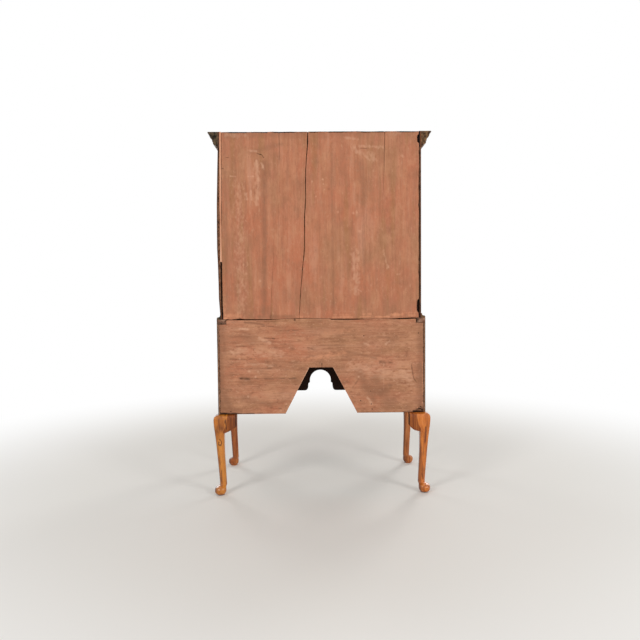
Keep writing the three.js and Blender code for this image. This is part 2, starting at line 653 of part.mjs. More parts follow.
// Cornice, from the top down: a fillet, an ovolo, a fillet, a cyma and a small bead.
const CORNICE_SHARES = {
  fillet: 0.08, ovoloOut: 0.885, ovoloSwell: 0.8, ovoloLevel: 0.4, ovoloIn: 0.56, ovoloBottom: 0.47,
  ledge: 0.5, ledgeBottom: 0.58, cymaMiddle: 0.36, cymaLevel: 0.8, cymaFoot: 0.18, cymaBottom: 0.93,
  beadOut: 0.13,
};
function corniceProfile() {
  const out = (share) => SEAT_GAP + share * (CORNICE_PROJECTION - SEAT_GAP);
  const down = (share) => CORNICE_HEIGHT * (1 - share);
  const s = CORNICE_SHARES;
  const shape = new THREE.Shape();
  shape.moveTo(SEAT_GAP, CORNICE_HEIGHT);
  shape.lineTo(SEAT_GAP, 0);
  shape.lineTo(out(s.beadOut / 2), 0);
  shape.quadraticCurveTo(out(s.beadOut), 0, out(s.beadOut), down(s.cymaBottom) / 2);
  shape.lineTo(out(s.beadOut), down(s.cymaBottom));
  shape.lineTo(out(s.cymaFoot), down(s.cymaBottom));
  shape.quadraticCurveTo(out(s.cymaFoot), down(s.cymaLevel), out(s.cymaMiddle), down(s.cymaLevel));
  shape.quadraticCurveTo(out(s.ledge), down(s.cymaLevel), out(s.ledge), down(s.ledgeBottom));
  shape.lineTo(out(s.ovoloIn), down(s.ledgeBottom));
  shape.lineTo(out(s.ovoloIn), down(s.ovoloBottom));
  shape.quadraticCurveTo(out(s.ovoloSwell), down(s.ovoloLevel), out(s.ovoloOut), down(s.fillet));
  shape.lineTo(out(1), down(s.fillet));
  shape.lineTo(out(1), CORNICE_HEIGHT);
  return shape;
}

// A back board. Each edge is given where it crosses the top and the bottom of the back.
function backBoard(leftEdge, rightEdge) {
  const bottom = BACK_BOARD_HEM;
  const top = UPPER_HEIGHT - SEAT_GAP;
  const shape = outline([
    [leftEdge.bottom, bottom],
    [rightEdge.bottom, bottom],
    [rightEdge.top, top],
    [leftEdge.top, top],
  ]);
  return sawnAlongY(shape, [UPPER_BACK_FACE, REAR]);
}

// The back boards side by side, and the strip that fills the gap beside the first of them.
function addUpperBack(group) {
  const seat = UPPER_HALF - SIDE_RABBET - SEAT_GAP;
  const strip = seat - EDGE_STRIP_WIDTH;
  const joints = [
    { top: strip - SEAT_GAP, bottom: strip - SEAT_GAP, gap: 0 },
    { top: JOINT_B_TOP_X, bottom: JOINT_B_BOTTOM_X, gap: JOINT_GAP },
    { top: CRACK_TOP_X, bottom: CRACK_BOTTOM_X, gap: CRACK_GAP },
    { top: JOINT_C_TOP_X, bottom: JOINT_C_BOTTOM_X, gap: JOINT_GAP },
    { top: -seat, bottom: -seat, gap: 0 },
  ];
  const edge = ({ top, bottom, gap }, side) => {
    const shift = side * gap / 2;
    return { top: top + shift, bottom: bottom + shift };
  };
  for (let index = 1; index < joints.length; index += 1) {
    const geometry = backBoard(edge(joints[index], 1), edge(joints[index - 1], -1));
    addPart(group, `back_board_${index}`, geometry, FINISHES.painted);
  }
  const top = UPPER_HEIGHT - SEAT_GAP;
  const filler = board([strip, seat], [UPPER_BACK_FACE, REAR], [top - EDGE_STRIP_LENGTH, top]);
  addPart(group, 'back_edge_strip', filler, FINISHES.freshPine);
}

// Drawers, each in a frame of its own: the middle of its opening's lower edge, on the case's face

// The tails along a drawer side's front edge, and how far each reaches above and below its middle.
function tails(height) {
  const count = Math.max(Math.round(height / TAIL_PITCH), 1);
  const pitch = height / count;
  return Array.from({ length: count }, (_, index) => ({
    middle: (index + 0.5) * pitch,
    root: TAIL_ROOT_SHARE * pitch / 2,
    tip: TAIL_TIP_SHARE * pitch / 2,
  }));
}

function drawerSizes(width, height, depth) {
  return {
    half: width / 2 - SLIDE_GAP,
    bottom: SEAT_GAP,
    sideHeight: height - DRAWER_HEADROOM - SEAT_GAP,
    shoulder: FRONT_BODY_THICKNESS + SEAT_GAP,
    rear: depth - DRAWER_REAR_GAP,
  };
}

function drawerSide(sizes) {
  const { bottom, sideHeight, shoulder, rear } = sizes;
  const tip = shoulder - TAIL_LENGTH;
  const points = [[rear, bottom], [rear, bottom + sideHeight], [shoulder, bottom + sideHeight]];
  for (const tail of tails(sideHeight).reverse()) {
    const middle = bottom + tail.middle;
    points.push([shoulder, middle + tail.root], [tip, middle + tail.tip]);
    points.push([tip, middle - tail.tip], [shoulder, middle - tail.root]);
  }
  points.push([shoulder, bottom]);
  return sawnAlongX(outline(points), [sizes.half - DRAWER_SIDE_THICKNESS, sizes.half]);
}

function drawerBox(sizes) {
  const { half, bottom, sideHeight, shoulder, rear } = sizes;
  const inner = half - DRAWER_SIDE_THICKNESS;
  const floor = bottom + DRAWER_BOTTOM_RISE;
  const panelHalf = inner + DRAWER_BOTTOM_GROOVE;
  const right = drawerSide(sizes);
  const panel = board([-panelHalf, panelHalf], [shoulder, rear], [floor, floor + DRAWER_BOTTOM_THICKNESS]);
  const back = board(
    [-panelHalf, panelHalf],
    [rear - DRAWER_SIDE_THICKNESS, rear],
    [floor, bottom + sideHeight - DRAWER_BACK_LOWERING],
  );
  return join(right, mirrored(right), panel, back);
}

// A pull's post: a collar on the face, a stem and a round head, turned about the Y axis.
function pullPost(x, z) {
  const profile = new THREE.Path();
  profile.moveTo(0, -POST_ROOT);
  profile.lineTo(POST_COLLAR_RADIUS, -POST_ROOT);
  profile.lineTo(POST_COLLAR_RADIUS, POST_COLLAR_HEIGHT / 2);
  profile.lineTo(POST_STEM_RADIUS, POST_COLLAR_HEIGHT);
  profile.lineTo(POST_STEM_RADIUS, POST_REACH - POST_HEAD_RADIUS);
  profile.lineTo(POST_HEAD_RADIUS, POST_REACH - POST_HEAD_RADIUS / 2);
  profile.lineTo(POST_HEAD_RADIUS, POST_REACH + POST_HEAD_RADIUS / 2);
  profile.lineTo(POST_STEM_RADIUS, POST_REACH + POST_HEAD_RADIUS);
  profile.lineTo(0, POST_REACH + POST_HEAD_RADIUS);
  const turned = new THREE.LatheGeometry(profile.getPoints(), POST_SIDES);
  const outside = Math.sign(x);
  const holeRadius = PIN_RADIUS + PIN_CLEARANCE;
  const holeLength = PIN_DEPTH + SLIDE_GAP + OVERRUN;
  const holeStart = POST_HEAD_RADIUS - PIN_DEPTH - SLIDE_GAP;
  const hole = new THREE.CylinderGeometry(holeRadius, holeRadius, holeLength, POST_SIDES);
  hole.rotateZ(QUARTER_TURN).translate(outside * (holeStart + holeLength / 2), POST_REACH, 0);
  return cut(turned, hole).rotateX(2 * QUARTER_TURN).translate(x, -LIP_THICKNESS, z);
}

// A drawer front: a lipped panel with a thumb-moulded edge, a body that fits the opening with
// sockets for the drawer side's tails, and the posts of its pulls.
function drawerFront(width, height, sizes, pulls) {
  const lipHalf = width / 2 + LIP_OVERLAP;
  const lipTop = height + LIP_OVERLAP;
  const lipRing = (inset, y) => [
    [-lipHalf + inset, -LIP_OVERLAP + inset], [lipHalf - inset, -LIP_OVERLAP + inset],
    [lipHalf - inset, lipTop - inset], [-lipHalf + inset, lipTop - inset],
  ].map(([x, z]) => new THREE.Vector3(x, y, z));
  const rings = [lipRing(0, -SEAT_GAP)];
  for (let step = 0; step <= ARC_STEPS; step += 1) {
    const angle = (step / ARC_STEPS) * QUARTER_TURN;
    const inset = LIP_ROUND * (1 - Math.cos(angle));
    const y = -(LIP_THICKNESS - LIP_FILLET) + LIP_ROUND * (1 - Math.sin(angle));
    rings.push(lipRing(inset, y));
  }
  rings.push(lipRing(LIP_ROUND + LIP_FILLET, -LIP_THICKNESS));
  const body = board(
    [-sizes.half, sizes.half],
    [-OVERRUN, FRONT_BODY_THICKNESS],
    [SLIDE_GAP, sizes.bottom + sizes.sideHeight],
  );
  const posts = pulls.flatMap(({ x, z }) => (
    [-1, 1].map((side) => pullPost(side * PULL_BORE / 2, z).translate(x, 0, 0))
  ));
  const whole = join(loft(rings), body, ...posts);
  return cut(whole, ...sockets(sizes));
}

// One socket for each tail, a seat's gap larger than the tail all round.
function sockets(sizes) {
  const { half, bottom, sideHeight, shoulder } = sizes;
  const tip = shoulder - TAIL_LENGTH - SEAT_GAP;
  const rear = FRONT_BODY_THICKNESS + OVERRUN;
  const across = [half - DRAWER_SIDE_THICKNESS - SEAT_GAP, half + OVERRUN];
  return tails(sideHeight).flatMap((tail) => {
    const middle = bottom + tail.middle;
    const spread = (tail.tip - tail.root) / TAIL_LENGTH;
    const root = tail.root + SEAT_GAP - spread * (rear - shoulder);
    const end = tail.tip + SEAT_GAP;
    const mouth = [[rear, middle - root], [rear, middle + root]];
    const right = sawnAlongX(outline([...mouth, [tip, middle + end], [tip, middle - end]]), across);
    return [right, mirrored(right)];
  });
}

// A bail, hung by its two pins. The shares place one half of its centre line, from the pin down to
// the middle of the grip.
const BAIL_SHARES = {
  shoulderDrop: 0.1, sideDrop: 0.34, waistDrop: 0.7, waistOut: 0.86, gripDrop: 0.95, gripOut: 0.48,
};
function bail() {
  const half = PULL_BORE / 2;
  const head = half + POST_HEAD_RADIUS;
  const arm = head + BAIL_SHOULDER + BAIL_RADIUS / 2;
  const s = BAIL_SHARES;
  const down = (share) => -share * BAIL_DROP;
  const side = [
    [head - PIN_DEPTH, 0],
    [head, 0],
    [head + BAIL_SHOULDER / 2, 0],
    [arm, down(s.shoulderDrop)],
    [arm, down(s.sideDrop)],
    [s.waistOut * arm, down(s.waistDrop)],
    [s.gripOut * arm, down(s.gripDrop)],
  ];
  const otherSide = side.map(([x, z]) => [-x, z]).reverse();
  const points = [...side, [0, -BAIL_DROP], ...otherSide];
  const line = new THREE.SplineCurve(points.map(([x, z]) => new THREE.Vector2(x, z)));
  const rings = [];
  for (let step = 0; step <= BAIL_STEPS; step += 1) {
    const share = step / BAIL_STEPS;
    const centre = line.getPoint(share);
    const along = line.getTangent(share);
    const swell = Math.sin(Math.PI * share);
    const radius = PIN_RADIUS + (BAIL_RADIUS - PIN_RADIUS) * swell;
    rings.push(Array.from({ length: BAIL_SIDES }, (_, index) => {
      const angle = (index / BAIL_SIDES) * 4 * QUARTER_TURN;
      const inPlane = along.clone().rotateAround(new THREE.Vector2(), QUARTER_TURN);
      const rim = inPlane.multiplyScalar(radius * Math.cos(angle)).add(centre);
      return new THREE.Vector3(rim.x, radius * Math.sin(angle), rim.y);
    }));
  }
  return loft(rings);
}

// A drawer with its front, its box and its pulls, added to the group that holds its opening.
function addDrawer(group, { name, x, y, z, width, height, depth, pullsAcross }) {
  const drawer = new THREE.Group();
  drawer.position.set(x, y, z);
  group.add(drawer);
  const sizes = drawerSizes(width, height, depth);
  const pulls = pullsAcross.map((across) => ({ x: across, z: PULL_HEIGHT_SHARE * height }));
  addPart(drawer, `${name}_front`, drawerFront(width, height, sizes, pulls), FINISHES.walnut);
  addPart(drawer, `${name}_box`, drawerBox(sizes), FINISHES.pine);
  const endings = pulls.length > 1 ? ['_left', '_right'] : [''];
  pulls.forEach((pull, index) => {
    const hung = new THREE.Group();
    hung.position.set(pull.x, -LIP_THICKNESS - POST_REACH, pull.z);
    drawer.add(hung);
    addPart(hung, `${name}_bail${endings[index]}`, bail(), FINISHES.brass);
  });
}

function longPulls(width) {
  const across = LONG_PULL_SHARE * width / 2;
  return [-across, across];
}

// Assembly

const stand = new THREE.Group();
addLegs(stand);
addPart(stand, 'stand_back', standBack(), FINISHES.painted);
const rightSide = standSide();
addPart(stand, 'stand_side_right', rightSide, FINISHES.walnut);
addPart(stand, 'stand_side_left', mirrored(rightSide), FINISHES.walnut);
addPart(stand, 'front_apron', frontApron(), FINISHES.walnut);
addPart(stand, 'stand_top_rail', standRail(TOP_RAIL_BOTTOM), FINISHES.walnut);
addPart(stand, 'stand_middle_rail', standRail(MIDDLE_RAIL_BOTTOM), FINISHES.walnut);
const rightPartition = standPartition();
addPart(stand, 'stand_partition_right', rightPartition, FINISHES.pine);
addPart(stand, 'stand_partition_left', mirrored(rightPartition), FINISHES.pine);
const waistNames = {
  right: 'waist_moulding_right', left: 'waist_moulding_left', front: 'waist_moulding_front',
};
addMouldings(stand, waistNames, waistProfile(), STAND_TOP + SEAT_GAP);

const standDepth = STAND_BACK_FACE - FRONT;
const sideWidth = POST_INNER - PARTITION_OUTER;
const sideCentre = (POST_INNER + PARTITION_OUTER) / 2;
addDrawer(stand, {
  name: 'stand_long_drawer',
  x: 0,
  y: FRONT,
  z: LONG_OPENING_BOTTOM,
  width: 2 * POST_INNER,
  height: LONG_OPENING_HEIGHT,
  depth: standDepth,
  pullsAcross: longPulls(2 * POST_INNER),
});
addDrawer(stand, {
  name: 'centre_drawer',
  x: 0,
  y: FRONT,
  z: CENTRE_OPENING_BOTTOM,
  width: CENTRE_OPENING_WIDTH,
  height: CENTRE_OPENING_HEIGHT,
  depth: standDepth,
  pullsAcross: [0],
});
for (const [ending, side] of [['left', -1], ['right', 1]]) {
  addDrawer(stand, {
    name: `deep_drawer_${ending}`,
    x: side * sideCentre,
    y: FRONT,
    z: SIDE_OPENING_BOTTOM,
    width: sideWidth,
    height: SIDE_OPENING_HEIGHT,
    depth: standDepth,
    pullsAcross: [0],
  });
}

const upperCase = new THREE.Group();
upperCase.position.z = STAND_TOP + SEAT_GAP;
const upperRightSide = upperSide();
addPart(upperCase, 'upper_side_right', upperRightSide, FINISHES.walnut);
addPart(upperCase, 'upper_side_left', mirrored(upperRightSide), FINISHES.walnut);
const boardDepth = [UPPER_FRONT, UPPER_BACK_FACE - SEAT_GAP];
addPart(upperCase, 'upper_bottom', upperBottom(), FINISHES.walnut);
addPart(upperCase, 'upper_top', acrossUpper(boardDepth, [TOP_BOARD_BOTTOM, UPPER_HEIGHT]), FINISHES.pine);
const friezeDepth = [UPPER_FRONT, UPPER_FRONT + APRON_THICKNESS];
const friezeHeights = [UPPER_OPENINGS.at(-1).top, TOP_BOARD_BOTTOM - SEAT_GAP];
addPart(upperCase, 'upper_frieze', acrossUpper(friezeDepth, friezeHeights), FINISHES.walnut);
UPPER_OPENINGS.slice(1).forEach(({ bottom }, index) => {
  const rail = acrossUpper([UPPER_FRONT, UPPER_FRONT + RAIL_DEPTH], [bottom - RAIL_THICKNESS, bottom]);
  addPart(upperCase, `upper_rail_${index + 1}`, rail, FINISHES.walnut);
});
addUpperBack(upperCase);
const corniceNames = { right: 'cornice_right', left: 'cornice_left', front: 'cornice_front' };
addMouldings(upperCase, corniceNames, corniceProfile(), UPPER_HEIGHT - CORNICE_HEIGHT);
UPPER_OPENINGS.forEach(({ bottom, top }, index) => {
  addDrawer(upperCase, {
    name: `upper_drawer_${index + 1}`,
    x: 0,
    y: UPPER_FRONT,
    z: bottom,
    width: 2 * UPPER_INNER,
    height: top - bottom,
    depth: UPPER_BACK_FACE - UPPER_FRONT,
    pullsAcross: longPulls(2 * UPPER_INNER),
  });
});

const highboy = new THREE.Group();
highboy.add(stand, upperCase);
export default highboy;
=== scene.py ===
"""Looks of the highboy, built round its solids.

The photograph shows the piece from behind: washed back boards, two honey-coloured legs, and the dark inside through
the hole sawn in the lower board. The camera stands there. The front is finished as on such a piece, in waxed walnut
with brass bails. Lengths are millimetres and turn to metres where a mesh or a pattern takes them.
"""

from functools import partial
import math

import bmesh
import bpy
import numpy as np
from mathutils import Matrix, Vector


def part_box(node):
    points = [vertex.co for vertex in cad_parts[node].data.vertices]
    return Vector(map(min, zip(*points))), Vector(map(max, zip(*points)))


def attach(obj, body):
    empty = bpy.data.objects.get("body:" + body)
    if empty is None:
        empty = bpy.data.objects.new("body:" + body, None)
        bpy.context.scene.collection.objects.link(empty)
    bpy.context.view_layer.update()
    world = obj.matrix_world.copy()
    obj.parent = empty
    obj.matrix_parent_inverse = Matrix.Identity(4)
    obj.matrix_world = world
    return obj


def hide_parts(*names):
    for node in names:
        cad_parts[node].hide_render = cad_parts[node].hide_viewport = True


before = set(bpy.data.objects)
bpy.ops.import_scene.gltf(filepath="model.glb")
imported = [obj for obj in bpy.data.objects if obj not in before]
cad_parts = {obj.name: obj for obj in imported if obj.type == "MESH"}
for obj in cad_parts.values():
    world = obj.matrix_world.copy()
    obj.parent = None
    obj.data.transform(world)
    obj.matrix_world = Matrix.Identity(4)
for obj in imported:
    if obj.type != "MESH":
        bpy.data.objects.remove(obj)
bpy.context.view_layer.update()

MM = 0.001
# How far apart a board's points lie along its grain, and how far in its edges are rounded
BOARD_STEP, ROUNDED_WITHIN = 3.6, 3.5


def corners(node):
    """The lowest and highest corners of a solid, in millimetres."""
    return [np.array(corner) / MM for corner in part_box(node)]


# Places taken from the solids
LOWER_BACK_LOW, LOWER_BACK_HIGH = corners("stand_back")
CASE_BOTTOM, STAND_TOP = LOWER_BACK_LOW[2], LOWER_BACK_HIGH[2]
REAR = LOWER_BACK_HIGH[1]
FRONT = corners("front_apron")[0][1]
STAND_HALF = corners("stand_side_right")[1][0]
UPPER_FRONT = corners("upper_side_right")[0][1]
UPPER_HALF = corners("upper_side_right")[1][0]
BACK_EDGE, UPPER_BACK_FACE, UPPER_BACK_BOTTOM = corners("back_board_4")[0]
UPPER_BACK_TOP = corners("back_board_4")[1][2]
STRIP_LOW, STRIP_HIGH = corners("back_edge_strip")
WAIST_BOTTOM, WAIST_TOP = (corner[2] for corner in corners("waist_moulding_front"))
CORNICE_BOTTOM, CORNICE_TOP = (corner[2] for corner in corners("cornice_front"))
CORNICE_PROJECTION = corners("cornice_right")[1][0] - UPPER_HALF

# Sizes that the finer pieces share with the solids
SEAT_GAP = 0.3
POST = 45.0
POST_CORNER_RADIUS = 1.4
PANEL_THICKNESS = 18.0
BEARER_HEIGHT = 23.0
LEG_HEIGHT = CASE_BOTTOM - SEAT_GAP
KNEE_HEIGHT = 86.0
KNEE_PROJECTION = 22.0
ANKLE_DIAMETER = 34.0
FOOT_DIAMETER = 56.0
FOOT_PROJECTION = 24.0
FOOT_HEIGHT = 50.0
KNEE_BLOCK_THICKNESS = 28.0
KNEE_BLOCK_ROOT_HEIGHT = 90.0
# A knee block's reach, its height at the far end, and the power with which its lower edge rises
ROUNDED_BLOCK = (33.0, 64.0, 3.0)
SLOPING_BLOCK = (38.0, 63.0, 1.4)
SIDE_RABBET = 9.0
CUTOUT_TOP_WIDTH = 115.0
CUTOUT_BOTTOM_WIDTH = 349.0
CUTOUT_HEIGHT = 224.0
CUTOUT_OFFSET = 3.0
LIP_THICKNESS = 7.0
LIP_OVERLAP = 6.0
LIP_ROUND = 4.0
FRONT_BODY_THICKNESS = 14.0
DRAWER_SIDE_THICKNESS = 12.0
DRAWER_HEADROOM = 5.0
SLIDE_GAP = 1.2
TAIL_LENGTH = 12.0
TAIL_PITCH = 42.0
TAIL_ROOT_SHARE = 0.5
TAIL_TIP_SHARE = 0.66
PULL_BORE = 76.0
PULL_HEIGHT_SHARE = 0.58
LONG_PULL_SHARE = 0.62
POST_REACH = 17.0
POST_HEAD_RADIUS = 5.5
POST_STEM_RADIUS = 3.6
POST_COLLAR_RADIUS = 7.0
POST_COLLAR_HEIGHT = 3.0
POST_ROOT = 4.0
PIN_RADIUS = 2.0
PIN_DEPTH = 4.0
BAIL_DROP = 42.0
BAIL_SHOULDER = 5.0
BAIL_RADIUS = 3.0


# Numbers and curves

def linear(hex_colour):
    """The linear colour of an sRGB hex value: ((c + 0.055) / 1.055) to the power 2.4, or c / 12.92 where it is dark."""
    channels = (int(hex_colour[place:place + 2], 16) / 255 for place in (1, 3, 5))
    return [*(c / 12.92 if c <= 0.04045 else ((c + 0.055) / 1.055) ** 2.4 for c in channels), 1.0]


def scatter(i, j, seed):
    """A number from 0 to 1 for each whole pair (i, j): the fraction of a large multiple of a sine."""
    return np.modf(np.abs(np.sin(i * 127.1 + j * 311.7 + seed * 74.7)) * 43758.5453)[0]


def uneven(a, b, cell_a, cell_b, seed):
    """Smooth noise from -1 to 1: scattered numbers on a grid of cells, blended by 3t^2 - 2t^3 across each cell."""
    u, v = a / cell_a, b / cell_b
    i, j = np.floor(u), np.floor(v)
    s, t = u - i, v - j
    s, t = s * s * (3 - 2 * s), t * t * (3 - 2 * t)
    low = scatter(i, j, seed) * (1 - s) + scatter(i + 1, j, seed) * s
    high = scatter(i, j + 1, seed) * (1 - s) + scatter(i + 1, j + 1, seed) * s
    return 2 * (low * (1 - t) + high * t) - 1


def wavy(a, cell, seed):
    """The same noise along one line."""
    return uneven(a, a * 0, cell, 1, seed)


def cubic(a, b, slope_a, slope_b, t):
    """From a to b with a slope at each: a(1-r) + br + slope_a(t^3-2t^2+t) + slope_b(t^3-t^2), where r is 3t^2-2t^3."""
    rise = 3 * t**2 - 2 * t**3
    return a * (1 - rise) + b * rise + slope_a * (t**3 - 2 * t**2 + t) + slope_b * (t**3 - t**2)


def eased(values, at):
    """Values between numbered stations, on cubics whose slopes are harmonic means, so none passes its stations."""
    step = np.diff(values)
    slope = np.concatenate([step[:1], np.zeros(len(step) - 1), step[-1:]])
    same_way = step[:-1] * step[1:] > 0
    both = np.where(same_way, step[:-1] + step[1:], 1)
    slope[1:-1] = np.where(same_way, 2 * step[:-1] * step[1:] / both, 0)
    i = np.clip(np.floor(at).astype(int), 0, len(step) - 1)
    return cubic(values[i], values[i + 1], slope[i], slope[i + 1], at - i)


def through(path, z):
    """Where a path of (x, z) points, listed upwards, stands at each height: straight between its points."""
    xs, zs = zip(*path)
    return np.interp(z, zs, xs)


def under(marks, x, z):
    """How strongly points lie under marks, 0 to 1. A mark is its half width, its strength in hundredths and the X and
    Z of each point of its path. It fades with the distance d from the path, in half widths, as 1 - 3d^2 + 2d^3."""
    shown = np.zeros(np.broadcast(x, z).shape)
    for half_width, strength, *path in marks:
        path = list(zip(path[::2], path[1::2]))
        for (x0, z0), (x1, z1) in zip(path, path[1:] or path):
            along_x, along_z = x1 - x0, z1 - z0
            length = max(along_x**2 + along_z**2, MM)
            share = np.clip(((x - x0) * along_x + (z - z0) * along_z) / length, 0, 1)
            away = np.clip(np.hypot(x - x0 - share * along_x, z - z0 - share * along_z) / half_width, 0, 1)
            shown = np.maximum(shown, strength / 100 * (1 - 3 * away**2 + 2 * away**3))
    return shown


def curved(start, control, end):
    """Eleven points on the curve (1-t)^2 start + 2t(1-t) control + t^2 end."""
    t = np.linspace(0, 1, 11)[:, None]
    return (1 - t)**2 * np.array(start) + 2 * t * (1 - t) * np.array(control) + t**2 * np.array(end)


# Meshes

def grid(x, y, z):
    """Points from their coordinates, stretched to one shape."""
    return np.stack(np.broadcast_arrays(x, y, z), axis=-1)


def skin(rings, **marks):
    """A closed shell over rings of points, shaped (rings, points, 3): each ring is joined to the next one, and the
    first and the last are closed by a face each. Marks are numbers for each point."""
    count, around = rings.shape[:2]
    index = np.arange(count * around).reshape(count, around)
    turned = np.roll(index, -1, axis=1)
    quads = np.stack([index[:-1], turned[:-1], turned[1:], index[1:]], axis=-1).reshape(-1, 4)
    marks = {name: np.broadcast_to(values, (count, around)).ravel() for name, values in marks.items()}
    return {"points": rings.reshape(-1, 3), "quads": quads, "ends": [index[0, ::-1], index[-1]], "marks": marks}


def block(low, high):
    """A plain block between two corners."""
    (x0, y0, z0), (x1, y1, z1) = low, high
    return skin(grid(np.array([x0, x1, x1, x0]), np.array([y0, y0, y1, y1]), np.array([[z0], [z1]])))


def spun(section, points, x, y, z):
    """A half-section of radii and depths, turned about a line along Y, with that many points round it."""
    radius, depth = np.array(section).T[:, :, None]
    angle = np.linspace(0, 2 * math.pi, points + 1)[:-1]
    return skin(grid(x + radius * np.cos(angle), y + depth, z + radius * np.sin(angle)))


def board(rear, front, marks):
    """A board's shell: its worn rear face, a ring's points at a time, and its plain front face, two points to a ring.
    Its marks are given for the rear face."""
    marks = {name: np.concatenate([values, values[:, [-1, 0]]], axis=1) for name, values in marks.items()}
    return skin(np.concatenate([rear, front], axis=1), **marks)


def build(name, shells, finishes, body, stands_for=(), crease=38.0):
    """One piece of closed shells in millimetres, riding on a body. The first finish is on the shells' sides and the
    last one on their ends, and each mark becomes a point attribute."""
    loops, sizes, finish, offset = [], [], [], 0
    for shell in shells:
        loops += [shell["quads"].ravel() + offset, *(end + offset for end in shell["ends"])]
        sizes += [np.full(len(shell["quads"]), 4), [len(end) for end in shell["ends"]]]
        finish += [np.zeros(len(shell["quads"])), np.full(len(shell["ends"]), len(finishes) - 1)]
        offset += len(shell["points"])
    loops, sizes, finish = (np.concatenate(parts).astype(np.int32) for parts in (loops, sizes, finish))
    mesh = bpy.data.meshes.new(name)
    mesh.vertices.add(offset)
    mesh.vertices.foreach_set("co", (np.concatenate([shell["points"] for shell in shells]) * MM).ravel())
    mesh.loops.add(len(loops))
    mesh.loops.foreach_set("vertex_index", loops)
    mesh.polygons.add(len(sizes))
    mesh.polygons.foreach_set("loop_start", np.cumsum(np.concatenate([[0], sizes[:-1]])).astype(np.int32))
    for material in finishes:
        mesh.materials.append(material)
    mesh.update(calc_edges=True)
    mesh.polygons.foreach_set("material_index", finish)
    for mark in sorted({mark for shell in shells for mark in shell["marks"]}):
        values = [shell["marks"].get(mark, np.zeros(len(shell["points"]))) for shell in shells]
        mesh.attributes.new(mark, "FLOAT", "POINT").data.foreach_set("value", np.concatenate(values))
    shaped = bmesh.new()
    shaped.from_mesh(mesh)
    bmesh.ops.recalc_face_normals(shaped, faces=shaped.faces)
    shaped.to_mesh(mesh)
    shaped.free()
    mesh.shade_smooth()
    mesh.set_sharp_from_angle(angle=math.radians(crease))
    piece = bpy.data.objects.new(name, mesh)
    bpy.context.scene.collection.objects.link(piece)
    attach(piece, body)
    if stands_for:
        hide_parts(*stands_for)
    return piece


# Finishes

def add_node(tree, kind, inputs=(), out=0, stops=(), **settings):
    """Adds one node with its settings and gives back one of its outputs. Inputs are listed in the node's own order or
    given by name or number, and each is a number, a hex colour or another node's output. Stops are the places and
    colours of a colour ramp."""
    node = tree.nodes.new("ShaderNode" + kind)
    for index, (place, colour) in enumerate(stops):
        ramp = node.color_ramp.elements
        stop = ramp[index] if index < len(ramp) else ramp.new(place)
        stop.position, stop.color = place, linear(colour)
    for name, value in settings.items():
        setattr(node, name, value)
    for name, value in inputs.items() if isinstance(inputs, dict) else enumerate(inputs):
        if isinstance(value, bpy.types.NodeSocket):
            tree.links.new(value, node.inputs[name])
        else:
            node.inputs[name].default_value = linear(value) if isinstance(value, str) else value
    return node.outputs[out] if node.outputs else None


def new_finish(name):
    """An empty node material, what adds nodes to it, and where on the piece a point lies."""
    material = bpy.data.materials.new(name)
    material.use_nodes = True
    material.node_tree.nodes.clear()
    add = partial(add_node, material.node_tree)
    return material, add, add("TexCoord", out="Object")


def figures(add, place, grain, sizes, worn=(), broken_by=""):
    """The patterns of a finish, by name. Each of the sizes is noise drawn out along the grain: its size across and
    along it in millimetres, its detail and a shift that keeps two alike apart. Each worn one is where the piece's
    point attribute of that name says that it is worn or dirty, broken up by one of the others, which is added to it.
    The legs' turned mark and some of the dirty marks are painted shade."""
    drawn = {}
    for name, (across, along, detail, shift) in sizes.items():
        scale = [1 / (MM * (along if axis == grain else across)) for axis in "XYZ"]
        turned = add("Mapping", {"Vector": place, "Scale": scale, "Location": (shift, 1.7 * shift, 2.3 * shift)})
        drawn[name] = add("TexNoise", {"Vector": turned, "Scale": 1.0, "Detail": detail, "Roughness": 0.55})
    for name in worn:
        mark = add("Attribute", out="Fac", attribute_type="GEOMETRY", attribute_name=name)
        drawn[name] = add("Math", [mark, drawn[broken_by]], operation="ADD")
    return drawn


def coated(add, base, drawn, coats):
    """A base colour with thin coats over it. A coat is its pattern's name, the values at which it starts and is full,
    its strength there, and its colour."""
    for name, start, full, strength, colour in coats:
        cover = add("MapRange", [drawn[name], start, full, 0.0, strength])
        base = add("Mix", {0: cover, 6: base, 7: colour}, out=2, data_type="RGBA")
    return base


def finished(material, add, base, matt, height, strength, depth, shine):
    """The material with its colour, its roughness, its shine, and a relief: its height, strength and depth in
    millimetres."""
    raised = add("Bump", {"Height": height, "Strength": strength, "Distance": depth * MM})
    add("OutputMaterial", [add("BsdfPrincipled", {"Base Color": base, "Roughness": matt, "Normal": raised, **shine})])
    return material


